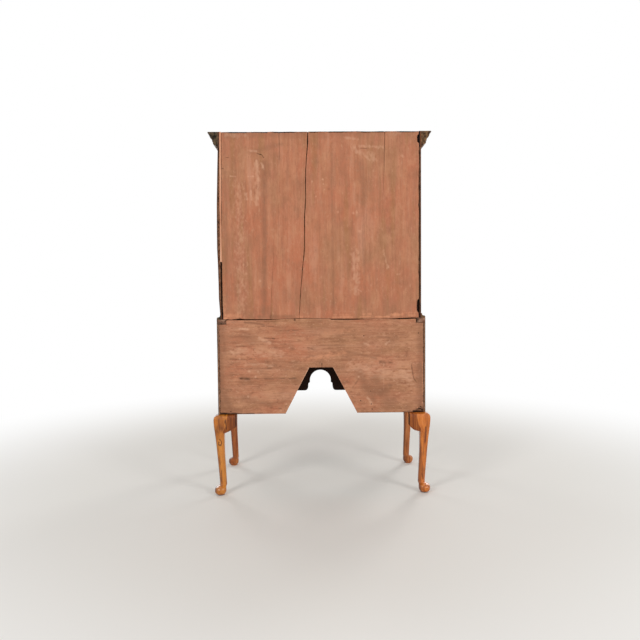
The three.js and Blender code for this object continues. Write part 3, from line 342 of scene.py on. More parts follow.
def washed_pine(name, grain, rough, tones):
    """Old pine under a thin red-brown water wash, brushed on along the grain: matt, clouded, and streaked 46 mm, 9 mm
    and 2.4 mm wide. It is paler where rubbed, orange where bare, dull where damp got at it and nearly black in cracks
    and corners. Rough is 0 for a planed board and 1 for one left from the saw, whose torn fibres take the wash
    unevenly. Real brush lines are 1 mm wide, and they are drawn wider so that they show."""
    material, add, place = new_finish(name)
    drawn = figures(add, place, grain, {
        "drift": (46, 520, 3, 3.1), "brush": (9, 150, 3, 8.4), "fibre": (2.4, 44, 3, 1.9), "cloud": (120, 190, 3, 5.5),
        "blotch": (42, 64, 4, 7.3), "mottle": (12, 21, 5, 6.2), "fleck": (4, 8, 4, 2.7),
    }, ("dull", "rubbed", "bare", "dirty"), "mottle")
    base = add("ValToRGB", [drawn["drift"]], stops=zip((0.34, 0.46, 0.56, 0.7), tones))
    base = coated(add, base, drawn, [
        ("cloud", 0.46, 0.66, 0.6, "#a97a59"), ("cloud", 0.45, 0.3, 0.5, "#bf7253"),
        ("blotch", 0.5, 0.7, 0.3 + 0.3 * rough, "#cb9370"), ("blotch", 0.47, 0.3, 0.28 + 0.34 * rough, "#96694f"),
        ("brush", 0.54, 0.76, 0.2 + 0.26 * rough, "#cf9474"), ("brush", 0.45, 0.26, 0.2 + 0.3 * rough, "#8f5b43"),
        ("fibre", 0.43, 0.28, 0.12 + 0.3 * rough, "#7c4c38"), ("mottle", 0.56, 0.73, 0.2 + 0.32 * rough, "#d09a79"),
        ("mottle", 0.44, 0.29, 0.18 + 0.34 * rough, "#8b5942"), ("fleck", 0.61, 0.75, 0.12 + 0.48 * rough, "#dbae90"),
        ("dull", 0.6, 1.35, 0.9, "#8d6149"), ("rubbed", 0.62, 1.45, 0.9, "#dcab8c"),
        ("bare", 0.66, 1.35, 0.9, "#dd9872"), ("dirty", 0.72, 1.35, 1.0, "#24120a"),
    ])
    matt = add("MapRange", [drawn["brush"], 0.3, 0.7, 0.92, 0.76])
    lines = add("Math", [drawn["fibre"], 0.6 + 0.8 * rough, drawn["brush"]], operation="MULTIPLY_ADD")
    return finished(material, add, base, matt, lines, 0.8, 0.3 + 0.5 * rough, {"Specular IOR Level": 0.2})


WALNUT = ("#3a1c0f", "#653418", "#854a23", "#a56330")


def figured_wood(name, grain, tones=WALNUT, ring=9, matt=0.34, coat=0.5, shine=0.12, figure=0.22, aged_and_shaded_within=None,
                 across_behind=None):
    """A sawn and planed wood, from its darkest tone to its lightest. Growth rings are the level lines of slow noise,
    about a ring apart and as strong as the figure, pores are drawn 1.1 mm wide (the real ones are 0.2 mm), and matt is
    its roughness. A coat is the wax or shellac rubbed over it. Aged and shaded within is a half width and a place along
    Y: the wood nearer the middle than the one and behind the other was never finished and has no coat, and it is
    painted nearly black, partly for its age and partly as painted shade inside the case. Across behind is a place along
    Y behind which a board lies across, and so does its grain. The wood is darkest where the piece's own marks say that
    it is dirty, and where they say that it is turned towards +X, which is painted shade on that side."""
    material, add, place = new_finish(name)
    if aged_and_shaded_within or across_behind:
        x, y = (add("SeparateXYZ", [place], out=axis) for axis in "XY")
    if across_behind:
        behind = add("Math", [y, across_behind * MM], operation="GREATER_THAN")
        swapped = add("CombineXYZ", [y, x, add("SeparateXYZ", [place], out="Z")])
        place = add("Mix", {0: behind, 4: place, 5: swapped}, out=1, data_type="VECTOR")
    drawn = figures(add, place, grain, {
        "slow": (ring * 11, ring * 170, 1, 9.3), "cloud": (70, 420, 2, 2.2), "streak": (4.5, 200, 4, 7.7),
        "pore": (1.1, 24, 2, 4.1), "wear": (26, 60, 4, 6.6),
    }, ("turned", "dirty"), "wear")
    rings = add("Math", [add("Math", [drawn["slow"], 22 * math.pi], operation="MULTIPLY")], operation="SINE")
    wide = add("Math", [rings, figure / 2, 0.14], operation="MULTIPLY_ADD")
    tone = add("Math", [drawn["streak"], 0.66, wide], operation="MULTIPLY_ADD")
    base = add("ValToRGB", [tone], stops=zip((0.24, 0.4, 0.53, 0.68), tones))
    # The turned coat is painted shade on the legs' sides that face +X.
    base = coated(add, base, drawn, [
        ("cloud", 0.42, 0.7, 0.5, tones[1]), ("cloud", 0.5, 0.3, 0.35, tones[3]), ("pore", 0.42, 0.3, 0.45, tones[0]),
        ("wear", 0.6, 0.74, 0.25, tones[0]), ("turned", 0.5, 1.4, 0.85, tones[0]), ("dirty", 0.6, 1.3, 0.9, tones[0]),
    ])
    if aged_and_shaded_within:
        half_width, behind = aged_and_shaded_within
        beside = add("Math", [add("Math", [x], operation="ABSOLUTE"), half_width * MM], operation="SUBTRACT")
        before = add("Math", [behind * MM, y], operation="SUBTRACT")
        drawn["away"] = add("Math", [beside, before], operation="MAXIMUM")
        # Inside the case the unfinished wood is painted nearly black: partly its age, partly painted shade.
        base = coated(add, base, drawn, [("away", 0.0, -MM, 0.97, "#241208")])
        coat = add("MapRange", [drawn["away"], 0.0, -MM, coat, 0.0])
    dulled = add("MapRange", [drawn["wear"], 0.35, 0.7, matt, matt + 0.16])
    return finished(material, add, base, dulled, drawn["pore"], 0.5, 0.15, {
        "Specular IOR Level": shine, "Coat Weight": coat, "Coat Roughness": 0.1,
    })


def end_grain(name, tones):
    """Sawn ends and edges that were never finished: short rings 3 mm apart, saw marks across them, grime that dulls
    all, and nearly black where dirty. Along a side's rear edge the dirty mark also carries painted shade of an open
    gap."""
    material, add, place = new_finish(name)
    drawn = figures(add, place, "Z", {
        "rings": (30, 12, 1, 3.3), "pore": (1.4, 1.4, 3, 1.1), "saw": (40, 2.2, 2, 5.0), "grime": (14, 14, 4, 8.8),
    }, ["dirty"], "grime")
    turns = add("Math", [drawn["rings"], 18 * math.pi], operation="MULTIPLY")
    drawn["rings"] = add("Math", [turns], operation="SINE")
    base = add("ValToRGB", [drawn["grime"]], stops=zip((0.35, 0.5, 0.65), tones))
    base = coated(add, base, drawn, [
        ("rings", 0.2, 1, 0.3, tones[0]), ("pore", 0.45, 0.3, 0.4, tones[0]), ("saw", 0.5, 0.75, 0.3, tones[2]),
        ("dirty", 0.75, 1.35, 1.0, "#1c0d06"),
    ])
    return finished(material, add, base, 0.85, drawn["saw"], 0.7, 0.4, {"Specular IOR Level": 0.08})


def cast_brass(name):
    """Cast brass, filed and worn by hands: warm yellow metal, browner in the hollows where its polish stays dark."""
    material, add, place = new_finish(name)
    drawn = figures(add, place, "Z", {"tarnish": (7, 7, 4, 2.0), "hands": (1.6, 1.6, 3, 6.0)})
    base = coated(add, "#c79a4b", drawn, [
        ("tarnish", 0.48, 0.66, 0.75, "#7d5624"), ("hands", 0.55, 0.75, 0.3, "#e2bd73"),
    ])
    dulled = add("MapRange", [drawn["tarnish"], 0.35, 0.65, 0.24, 0.46])
    return finished(material, add, base, dulled, drawn["hands"], 0.4, 0.1, {"Metallic": 1.0})


def rusted_iron(name):
    """Hand-made nail heads: iron rusted through its scale, dark with orange blooms, quite matt."""
    material, add, place = new_finish(name)
    drawn = figures(add, place, "Z", {"rust": (2.2, 2.2, 4, 1.2)})
    base = coated(add, "#2a1a13", drawn, [("rust", 0.48, 0.66, 0.8, "#7a3f1f")])
    return finished(material, add, base, 0.82, drawn["rust"], 0.7, 0.3, {})


# The legs' tones are partly their wood and partly painted light: the -X legs and the -X rear leg's block across are
# painted lighter than their +X fellows, as if more lit, and the front legs a little darker, as painted shade under the
# case.
HONEY_WALNUT = ("#5a280b", "#b5661f", "#ce7b26", "#e0953d")
LIT_HONEY_WALNUT = ("#6c310e", "#c06824", "#dd7f30", "#f0994c")
AMBER_WALNUT = ("#4a1c0a", "#934a20", "#b3622c", "#cb8044")
LIT_AMBER_WALNUT = ("#5a2a12", "#a85e2e", "#c67840", "#da9660")
RED_WALNUT = ("#3c180b", "#74360f", "#8e4917", "#a86022")
LIT_RED_WALNUT = ("#441d0b", "#8a4416", "#a65a20", "#bf7433")
UPRIGHT_WASH = ("#aa7452", "#b3765a", "#ba7859", "#c3886c")
LEVEL_WASH = ("#a97656", "#b27b5d", "#ba8061", "#c48d6f")
OLD_PINE = ("#5c3f28", "#80603f", "#93714c", "#a6845c")
SAWN_PINE = ("#a9674a", "#cd8f6e", "#dca281", "#ecbf9e")

washed_upright = washed_pine("red_wash_on_upright_pine", "Z", 0.2, UPRIGHT_WASH)
washed_level = washed_pine("red_wash_on_level_pine", "X", 1.0, LEVEL_WASH)
walnut_case = figured_wood("waxed_walnut_upright", "Z", coat=0.35, shine=0.4)
walnut_level = figured_wood("waxed_walnut_level", "X", coat=0.35, shine=0.4)
walnut_deep = figured_wood("waxed_walnut_front_to_back", "Y", ring=7, coat=0.35, shine=0.4)
# The inner faces of these are painted nearly black, partly for age and partly as painted shade inside the case.
stand_walnut = figured_wood("waxed_walnut_of_stand_sides", "Z", aged_and_shaded_within=(STAND_HALF - 2, FRONT + 2))
upper_walnut = figured_wood("waxed_walnut_of_upper_sides", "Z", aged_and_shaded_within=(UPPER_HALF - 2, UPPER_FRONT + 2))
apron_walnut = figured_wood("waxed_walnut_of_apron", "X", shine=0.1, aged_and_shaded_within=(STAND_HALF, FRONT + 2))
rail_walnut = figured_wood("waxed_walnut_of_rails", "X", aged_and_shaded_within=(STAND_HALF, UPPER_FRONT + 2))
partition_walnut = figured_wood("waxed_walnut_edge_of_partitions", "Z", aged_and_shaded_within=(STAND_HALF, FRONT + 3))
honey_walnut = figured_wood("shellac_on_honey_walnut", "Z", HONEY_WALNUT, 8, 0.28, 0.85, figure=0.16)
lit_honey_walnut = figured_wood("shellac_on_bright_walnut", "Z", LIT_HONEY_WALNUT, 8, 0.28, 0.85, figure=0.16)
amber_walnut = figured_wood("shellac_on_amber_walnut", "Z", AMBER_WALNUT, 8, 0.3, figure=0.16)
pale_walnut = figured_wood("shellac_on_pale_walnut", "Z", LIT_AMBER_WALNUT, 8, 0.3, figure=0.16)
red_walnut = figured_wood("shellac_on_red_walnut", "Z", RED_WALNUT, 6, 0.3, figure=0.14)
lit_red_walnut = figured_wood("shellac_on_brown_walnut", "Z", LIT_RED_WALNUT, 6, 0.3, figure=0.14)
red_walnut_deep = figured_wood("shellac_on_red_walnut_front_to_back", "Y", RED_WALNUT, 6, 0.3, 0.4)
pine_level = figured_wood("dry_old_pine_level", "X", OLD_PINE, 12, 0.75, 0.0, shine=0.25)
sawn_pine = figured_wood("fresh_sawn_pine", "Z", SAWN_PINE, 8, 0.7, 0.0, shine=0.25)
upper_edge = end_grain("sawn_edge_of_upper_side", ("#422a1c", "#6f4933", "#88624b"))
stand_edge = end_grain("sawn_edge_of_stand_side", ("#6b4a36", "#8f6a52", "#a8836a"))
bearer_end = end_grain("washed_end_of_bearer", ("#6b4636", "#96705b", "#b88f76"))
# The knee blocks' ends are nearly black: partly dark end grain, partly painted shade where an end shows as a thin slit
# beside a leg.
shaded_block_end = end_grain("end_grain_and_painted_shade_of_knee_block", ("#1c0f08", "#2e190f", "#432818"))
grey_end = end_grain("grimy_walnut_end_grain", ("#1d1813", "#3d362c", "#66543f"))
brown_end = end_grain("pale_walnut_end_grain", ("#2f2017", "#624833", "#8b6a4a"))
brass = cast_brass("worn_cast_brass")
iron = rusted_iron("rusted_iron")


# Back of the upper case

# Each joint between two boards: its path up the back as places (x, z), and its width as (width, z)
STRIP_JOINT = [
    (471.8, 861), (472.8, 914), (473.7, 953), (473.7, 1025), (473.2, 1144), (472.2, 1287), (470.2, 1415), (466.6, 1664),
    (466.2, 1747),
]
LEFT_JOINT = [(243, 861), (240, 953), (232, 1061), (225, 1175), (193, 1616), (193, 1747)]
CRACK = [
    (106, 861), (102, 936), (98, 995), (93, 1035), (90, 1075), (87, 1111), (81, 1154), (77, 1202), (76, 1295),
    (75, 1354), (71, 1413), (69, 1452), (70, 1492), (68, 1569), (64, 1628), (58, 1686), (57, 1747),
]
RIGHT_JOINT = [(-307, 861), (-304, 1469), (-307, 1618), (-310, 1747)]
LEFT_JOINT_WIDTH = [
    (1.4, 861), (1.4, 905), (0.2, 925), (1.0, 985), (0.2, 1030), (0.6, 1061), (0.4, 1175), (0.1, 1190), (0.1, 1600),
    (1.2, 1625), (1.7, 1747),
]
CRACK_WIDTH = [(1.0, 861), (1.6, 1050), (2.7, 1150), (3.1, 1300), (2.5, 1520), (2.8, 1640), (4.2, 1747)]
RIGHT_JOINT_WIDTH = [(0.1, 861), (0.1, 1440), (0.9, 1500), (1.6, 1580), (1.9, 1747)]
# Where the right-hand board's edge is broken away: the height, half the length and the depth of each hole
BROKEN_EDGE = [(1712, 21, 9.0), (914, 34, 10.0)]

# How many of the dirty marks on the upper boards and on the lower one, the first ones, are scored into the wood
UPPER_SCORED, LOWER_SCORED = 6, 12

UPPER_MARKS = {
    "dull": [
        (26, 52, 263, 1600, 273, 879), (11, 35, -55, 1690, -60, 880), (18, 30, -205, 1600, -212, 900),
        (20, 45, 257, 915, 257, 880), (16, 35, 243, 1593, 241, 1541), (45, 36, -190, 1600, -215, 1470),
        (40, 32, -420, 1738, 170, 1738), (34, 42, 170, 1736, 455, 1730), (26, 35, 180, 1690, 330, 1650),
        (20, 50, 300, 868, 130, 866), (22, 35, 452, 1700, 452, 890),
    ],
    "rubbed": [
        (12, 42, 337, 1659, 301, 1655), (14, 50, 302, 1610, 298, 1587, 296, 1493, 309, 1407),
        (12, 42, 352, 1457, 348, 1429), (10, 42, 331, 1471, 328, 1427), (10, 55, 278, 1600, 271, 1580),
        (6, 42, 429, 1539, 401, 1538), (6, 42, 344, 1538, 307, 1538), (9, 59, -13, 1522), (9, 59, -16, 1499),
        (9, 50, -20, 1475), (9, 50, 38, 1511), (9, 50, 20, 1441), (13, 38, -120, 1719, -183, 1709),
        (17, 42, -396, 1629), (13, 42, -84, 1365), (13, 42, -157, 1360), (13, 42, -177, 1364), (13, 42, -268, 1340),
        (13, 42, 294, 1041), (13, 42, 249, 1007), (13, 42, -371, 1067), (13, 42, -188, 1275),
        (14, 46, -158, 1173, -158, 1139, -162, 1048), (14, 46, -182, 1173, -179, 1130, -171, 1048),
        (35, 30, -170, 1180, -170, 980), (7, 42, -173, 1000, -193, 985),
        (10, 38, -304, 1183, -311, 1139, -325, 1099), (44, 25, 385, 1500, 385, 900),
        (26, 42, -160, 1668, -178, 1650), (14, 34, -186, 1678, -300, 1672), (17, 40, -190, 1652, -240, 1612),
        (28, 40, -246, 1636, -256, 1612), (22, 34, 446, 1736, 350, 1728), (24, 30, -330, 1735, -380, 1738),
        (24, 40, 302, 1600, 298, 1490, 306, 1410), (16, 30, 272, 1590, 268, 1574),
    ],
    "bare": [
        (22, 50, 392, 872, 466, 876), (8, 95, 470, 862, 458, 862), (8, 60, -54, 863, -150, 863),
        (11, 36, -60, 874, -140, 873), (8, 55, -190, 864, -240, 864), (13, 42, -205, 876, -250, 876),
        (7, 60, -262, 863, -330, 863), (16, 60, -345, 873, -388, 872), (11, 50, -425, 869, -455, 868),
        (10, 34, -404, 880, -462, 882), (16, 40, 466, 900, 460, 930), (12, 35, 120, 868, 60, 868),
    ],
    "dirty": [
        (4, 90, 298, 1645, 276, 1639, 268, 1626), (4, 70, 448, 1627, 432, 1626), (4, 70, 468, 1576, 459, 1576),
        (4, 50, -195, 1667, -235, 1665), (5, 60, -10, 1181), (3, 35, 193, 1747, 192, 1616),
        (3, 40, 225, 1175, 225, 1147), (4, 25, 242, 905, 243, 861), (3, 35, -310, 1747, -304, 1469),
        (6, 50, 396, 864, 386, 862),
    ],
}


# The seam between the upper boards and the lower one: places along X, how high its middle lies above the stand's
# top, and how far it gapes
SEAM = np.array([
    (-447, -1.4, 6.2), (-413, -2.6, 6.2), (-364, -3.8, 4.4), (-340, -4.0, 2.5), (-315, -4.0, 1.2), (-276, -3.8, 1.3),
    (-247, -3.5, 1.1), (-222, -3.8, 1.2), (-202, -3.8, 3.0), (-168, -3.8, 5.8), (-119, -3.8, 4.8), (-50, -3.5, 4.2),
    (-36, 1.0, 1.1), (28, 2.0, 1.3), (101, 2.0, 1.9), (175, 1.0, 1.0), (209, -1.0, 1.5), (248, -1.9, 3.5),
    (322, -1.9, 5.4), (366, -1.9, 5.4), (395, 0.2, 7.2), (434, -1.9, 3.0),
])
# From where along X the boards have to clear the bearers' ends, and by how much
NEAR_BEARERS, BEARER_CLEARANCE = 446, 1.2


def seam(x, side):
    """The height of the seam's upper side (1) or lower side (-1) above the stand's top: its middle and half its gap,
    each straight between the places given. Near the bearers' ends the upper side clears their tops."""
    middle, gap = (np.interp(x, SEAM[:, 0], values) for values in SEAM.T[1:])
    return np.where((np.abs(x) > NEAR_BEARERS) & (side > 0), BEARER_CLEARANCE, middle + side * gap / 2)


# How much higher than its rear face an upper board's front face ends
FRONT_FOOT_RISE = 8


def across_board(width):
    """Shares across a board: a point each 4 mm, and closer at both edges, where its corners are worn round."""
    near = np.array([0, 0.6, 1.6, 3.2])
    middle = np.linspace(7, width - 7, max(int(width / 4), 2))
    return np.concatenate([near, middle, width - near[::-1]]) / width


def worn_face(x, z, rounding, seed):
    """How far a planed and washed face lies below true, in millimetres: shallow hollows, brush ridges, and 1.3 mm
    times the rounding near its edges."""
    return 0.5 + 0.3 * uneven(x, z, 34, 300, seed) + 0.12 * uneven(x, z, 7, 120, seed + 1) + 1.3 * rounding


def upright_board(left, right, wear, seed):
    """A back board: its rear face is a grid between two edges that are given at each height, and its front face is
    plain. Each edge is rounded off by the fourth power of its nearness within 3.5 mm and dirty within 4.5 mm, as far
    as it is worn. The lower edge follows the seam, ragged by 0.6 mm, and the upper one is ragged by up to 2 mm and
    dirty for 5 mm. The underside runs straight forward from the lower edge, so that it keeps clear of the board below
    all the way, and the front face ends higher."""
    rise = np.linspace(0, 1, int((UPPER_BACK_TOP - UPPER_BACK_BOTTOM) / BOARD_STEP))[:, None]
    true_z = STAND_TOP + rise * (UPPER_BACK_TOP - STAND_TOP)
    x0, x1 = left(true_z), right(true_z)
    across = across_board(float(np.mean(x1 - x0)))[None]
    x = x0 + across * (x1 - x0)
    lift = seam(x, 1) + 0.3 * (1 + wavy(x, 9, 62))
    fall = 1 + wavy(x, 37, 90) + 0.4 * wavy(x, 6, 91)
    z = true_z + lift * (1 - rise)**8 - 0.7 * np.clip(fall, 0, 3) * rise**8
    edges = [(wear[0], x - x0), (wear[1], x1 - x), (0.7, UPPER_BACK_TOP - true_z + x * 0)]
    rounding = np.max([worn * np.clip(1 - away / ROUNDED_WITHIN, 0, 1)**4 for worn, away in edges], axis=0)
    edge_dirt = np.max([worn * np.clip(1 - away / 4.5, 0, 1) for worn, away in edges], axis=0)
    top_dirt = 0.7 * np.clip((6.0 - UPPER_BACK_TOP + true_z) / 1.5, 0, 1) * (1 + 0.5 * wavy(x, 26, 95))
    sunk = worn_face(x, z, rounding, seed) + 1.2 * under(UPPER_MARKS["dirty"][:UPPER_SCORED], x, z)
    rear = grid(x, REAR - sunk, z)
    front = rear[:, [-1, 0]].copy()
    front[..., 1] = UPPER_BACK_FACE
    front[..., 2] += FRONT_FOOT_RISE * (1 - rise)**8
    underside = rear[:1].copy()
    underside[..., 1] = UPPER_BACK_FACE + 0.5
    rear, front = np.concatenate([underside, rear]), np.concatenate([front[:1] - [0, 0, 0.5], front])
    marks = {name: under(strokes, x, z) for name, strokes in UPPER_MARKS.items()}
    edge_dirt = 0.7 * edge_dirt * (1 + uneven(x, z, 5, 40, seed + 4))
    marks["dirty"] = np.max([marks["dirty"], edge_dirt, top_dirt], axis=0)
    return board(rear, front, {name: np.concatenate([values[:1], values]) for name, values in marks.items()})


def joint_side(path, width, side, seed, torn=0.0):
    """One edge of a joint: its path, half its width to one side, 0.3 mm of unevenness, and splinters where torn."""
    return lambda z: (
        through(path, z) + side * through(width, z) / 2 + 0.3 * wavy(z, 23, seed)
        + side * torn * np.abs(wavy(z, 7.5, seed + 9))
    )


def broken_edge(z):
    """The outer edge of the right-hand board, uneven by 1 mm, with a slot where it is broken away: its depth falls
    off as the sixth power of the distance from its middle."""
    bites = [deep * np.clip(1 - ((z - middle) / half)**6, 0, 1) for middle, half, deep in BROKEN_EDGE]
    return BACK_EDGE + 0.6 + 0.6 * wavy(z, 31, 17) + sum(bites)


def strip_side(z):
    """The outer edge of the left-hand board, beside the strip above and the open gap below."""
    return through(STRIP_JOINT, z)


LEFT_JOINT_SIDES = [joint_side(LEFT_JOINT, LEFT_JOINT_WIDTH, side, 31) for side in (-1, 1)]
CRACK_SIDES = [joint_side(CRACK, CRACK_WIDTH, side, 37 + side, 0.9) for side in (-1, 1)]
RIGHT_JOINT_SIDES = [joint_side(RIGHT_JOINT, RIGHT_JOINT_WIDTH, side, 43) for side in (-1, 1)]
# Each board's two edges and how worn each is, from 0 to 1
UPPER_BOARDS = {
    "back_board_1": (LEFT_JOINT_SIDES[1], strip_side, (0.1, 0.5)),
    "back_board_2": (CRACK_SIDES[1], LEFT_JOINT_SIDES[0], (0.4, 0.1)),
    "back_board_3": (RIGHT_JOINT_SIDES[1], CRACK_SIDES[0], (0.1, 0.4)),
    "back_board_4": (broken_edge, RIGHT_JOINT_SIDES[0], (0.9, 0.1)),
}
for number, (node, (left, right, wear)) in enumerate(UPPER_BOARDS.items()):
    shell = upright_board(left, right, wear, 11 * number + 1)
    build(f"washed_{node}", [shell], [washed_upright], "upper_case", [node])


# The two edges of the strip beside that board: it leans out with the side, and laps 4 to 9 mm over its rear edge
STRIP_SIDES = [
    [(476.0, 1140), (474.0, 1287), (471.8, 1415), (468.2, 1664), (467.8, 1747)],
    [(482.2, 1140), (480.8, 1287), (481.0, 1415), (477.0, 1664), (476.6, 1747)],
]
# How far the strip reaches below its solid
STRIP_OVERREACH = 12


def sawn_strip():
    """The strip beside the left-hand board: a plate 0.9 mm thick with its corners off, between two edges that sway
    0.4 mm, over a tongue that fills the rabbet."""
    z = np.linspace(STRIP_LOW[2] - STRIP_OVERREACH, STRIP_HIGH[2], 160)[:, None]
    inner, outer = (through(edge, z) + 0.4 * wavy(z, 40, 5) for edge in STRIP_SIDES)
    wall = STRIP_HIGH[0] + z * 0
    tongue = np.minimum(inner, wall - 0.8)
    x = np.concatenate([tongue, wall, wall, outer, outer, outer - 0.7, inner + 0.6, inner, tongue], axis=1)
    y = np.array([UPPER_BACK_FACE] * 2 + [REAR + out for out in (0.2, 0.2, 0.7, 1.1, 1.1, 0.7, 0.3)])
    return skin(grid(x, y, z))


build("fresh_strip", [sawn_strip()], [sawn_pine], "upper_case", ["back_edge_strip"])

# How far the upper right side has bowed out at its rear edge, at each height
BOW = [(3, 878), (8, 957), (8.5, 1029), (10, 1120), (12.5, 1198), (12, 1280), (10.6, 1400), (6.3, 1535), (1.5, 1670)]


def bowed_face():
    """The outer face of the upper right side. It stands out by the bow at its rear edge, and by the square of the
    share of the depth before that. Its inner face lies within the solid."""
    z = np.linspace(WAIST_TOP + SEAT_GAP, CORNICE_BOTTOM - SEAT_GAP, 120)[:, None]
    share = np.linspace(0, 1, 60)[None]
    face = UPPER_HALF + 0.25 + through(BOW, z) * share**2 + 0.1 * uneven(z, share, 90, 0.2, 51)
    x = np.concatenate([face, UPPER_HALF - 0.5 + z * [0, 0]], axis=1)
    y = UPPER_FRONT + 4 + (REAR - UPPER_FRONT - 4.2) * np.concatenate([share, [[1, 0]]], axis=1)
    return skin(grid(x, y, z))


build("bowed_upper_side", [bowed_face()], [walnut_case], "upper_case")


EDGE_MARKS = [
    (5, 90, 494, 834, 462, 836), (6, 80, 484, 841, 474, 838), (5, 70, 466, 852, 463, 838),
    (4, 60, 500, 856, 500, 836), (3, 80, -461, 856, -461, 834, -500, 834), (4, 60, -478, 853, -490, 850),
]


def sawn_edge(inner, gap, outer, bottom, top, seed, joint=1.0, rim=2.0):
    """The rear edge of a side or a rail, 0.4 mm proud of the solid: a strip between two places along X, given at each
    height, whose outer corner is worn back by up to 1.5 mm. It is dirty within the rim of that corner and under its
    marks, and dark along its joint with the back as far as the gap goes: a dark joint where the gap is narrow, and
    painted shade of the open gap where the board has shrunk away from the side."""
    z = np.linspace(bottom, top, max(int((top - bottom) / 4), 6))[:, None]
    near, far = inner + 0.5 * wavy(z, 19, seed + 1), outer(z)
    side = np.sign(far)
    within = gap + 0.6 * wavy(z, 13, seed + 3)
    worn = side * (1.0 + 0.5 * wavy(z, 17, seed))
    rim = side * rim * (1 + 0.4 * wavy(z, 29, seed + 4))
    middle = (within + far - rim) / 2
    x = np.concatenate([near, near, within, within + side, middle, far - worn - rim, far - worn, far, far], axis=1)
    y = REAR + np.array([-4, 0.02, 0.02, 0.4, 0.4, 0.4, 0.3, -0.6, -4])
    # Dark up to the gap: a dark joint where it is narrow, painted shade of the open gap where the board has shrunk
    # away.
    dirt = np.array([joint, joint, joint, 0.2, 0, 0.25, 0.9, 1, 1]) + 0.35 * uneven(z, x, 26, 3, seed + 2)
    return skin(grid(x, y, z), dirty=np.maximum(dirt, under(EDGE_MARKS, x, z)))


# Where each upper side's rear edge stops being dark: the board beside the right one has shrunk away from it, and
# the dark up to here on that side is painted shade of the open gap.
UPPER_GAP_SHADE_END = {"right": 480.2, "left": -UPPER_HALF + SIDE_RABBET - 1.5}
for ending, side in (("right", 1), ("left", -1)):
    bow = BOW if side > 0 else [(0, CASE_BOTTOM), (0, UPPER_BACK_TOP)]
    lip = sawn_edge(
        side * (UPPER_HALF - SIDE_RABBET), UPPER_GAP_SHADE_END[ending], lambda z: side * (UPPER_HALF + 0.3 + through(bow, z)),
        WAIST_TOP + SEAT_GAP, CORNICE_BOTTOM - SEAT_GAP, 60 + side,
    )
    build(f"upper_side_{ending}_rear_edge", [lip], [upper_edge], "upper_case")
    inner = side * (STAND_HALF - SIDE_RABBET)
    lip = sawn_edge(
        inner, inner + side, lambda z: side * (STAND_HALF + 0.2) + z * 0, CASE_BOTTOM + 0.2, STAND_TOP - BEARER_HEIGHT,
        70 + side, joint=0.5, rim=2.6,
    )
    build(f"stand_side_{ending}_rear_edge", [lip], [stand_edge], "stand")
    inner = side * (STAND_HALF - POST)
    end = sawn_edge(
        inner, inner + side, lambda z: side * (STAND_HALF + 0.2) + z * 0, STAND_TOP - BEARER_HEIGHT + 0.4,
        STAND_TOP - 0.2, 80 + side,
    )
    build(f"bearer_{ending}_rear_end", [end], [bearer_end], "stand")


# Back of the stand

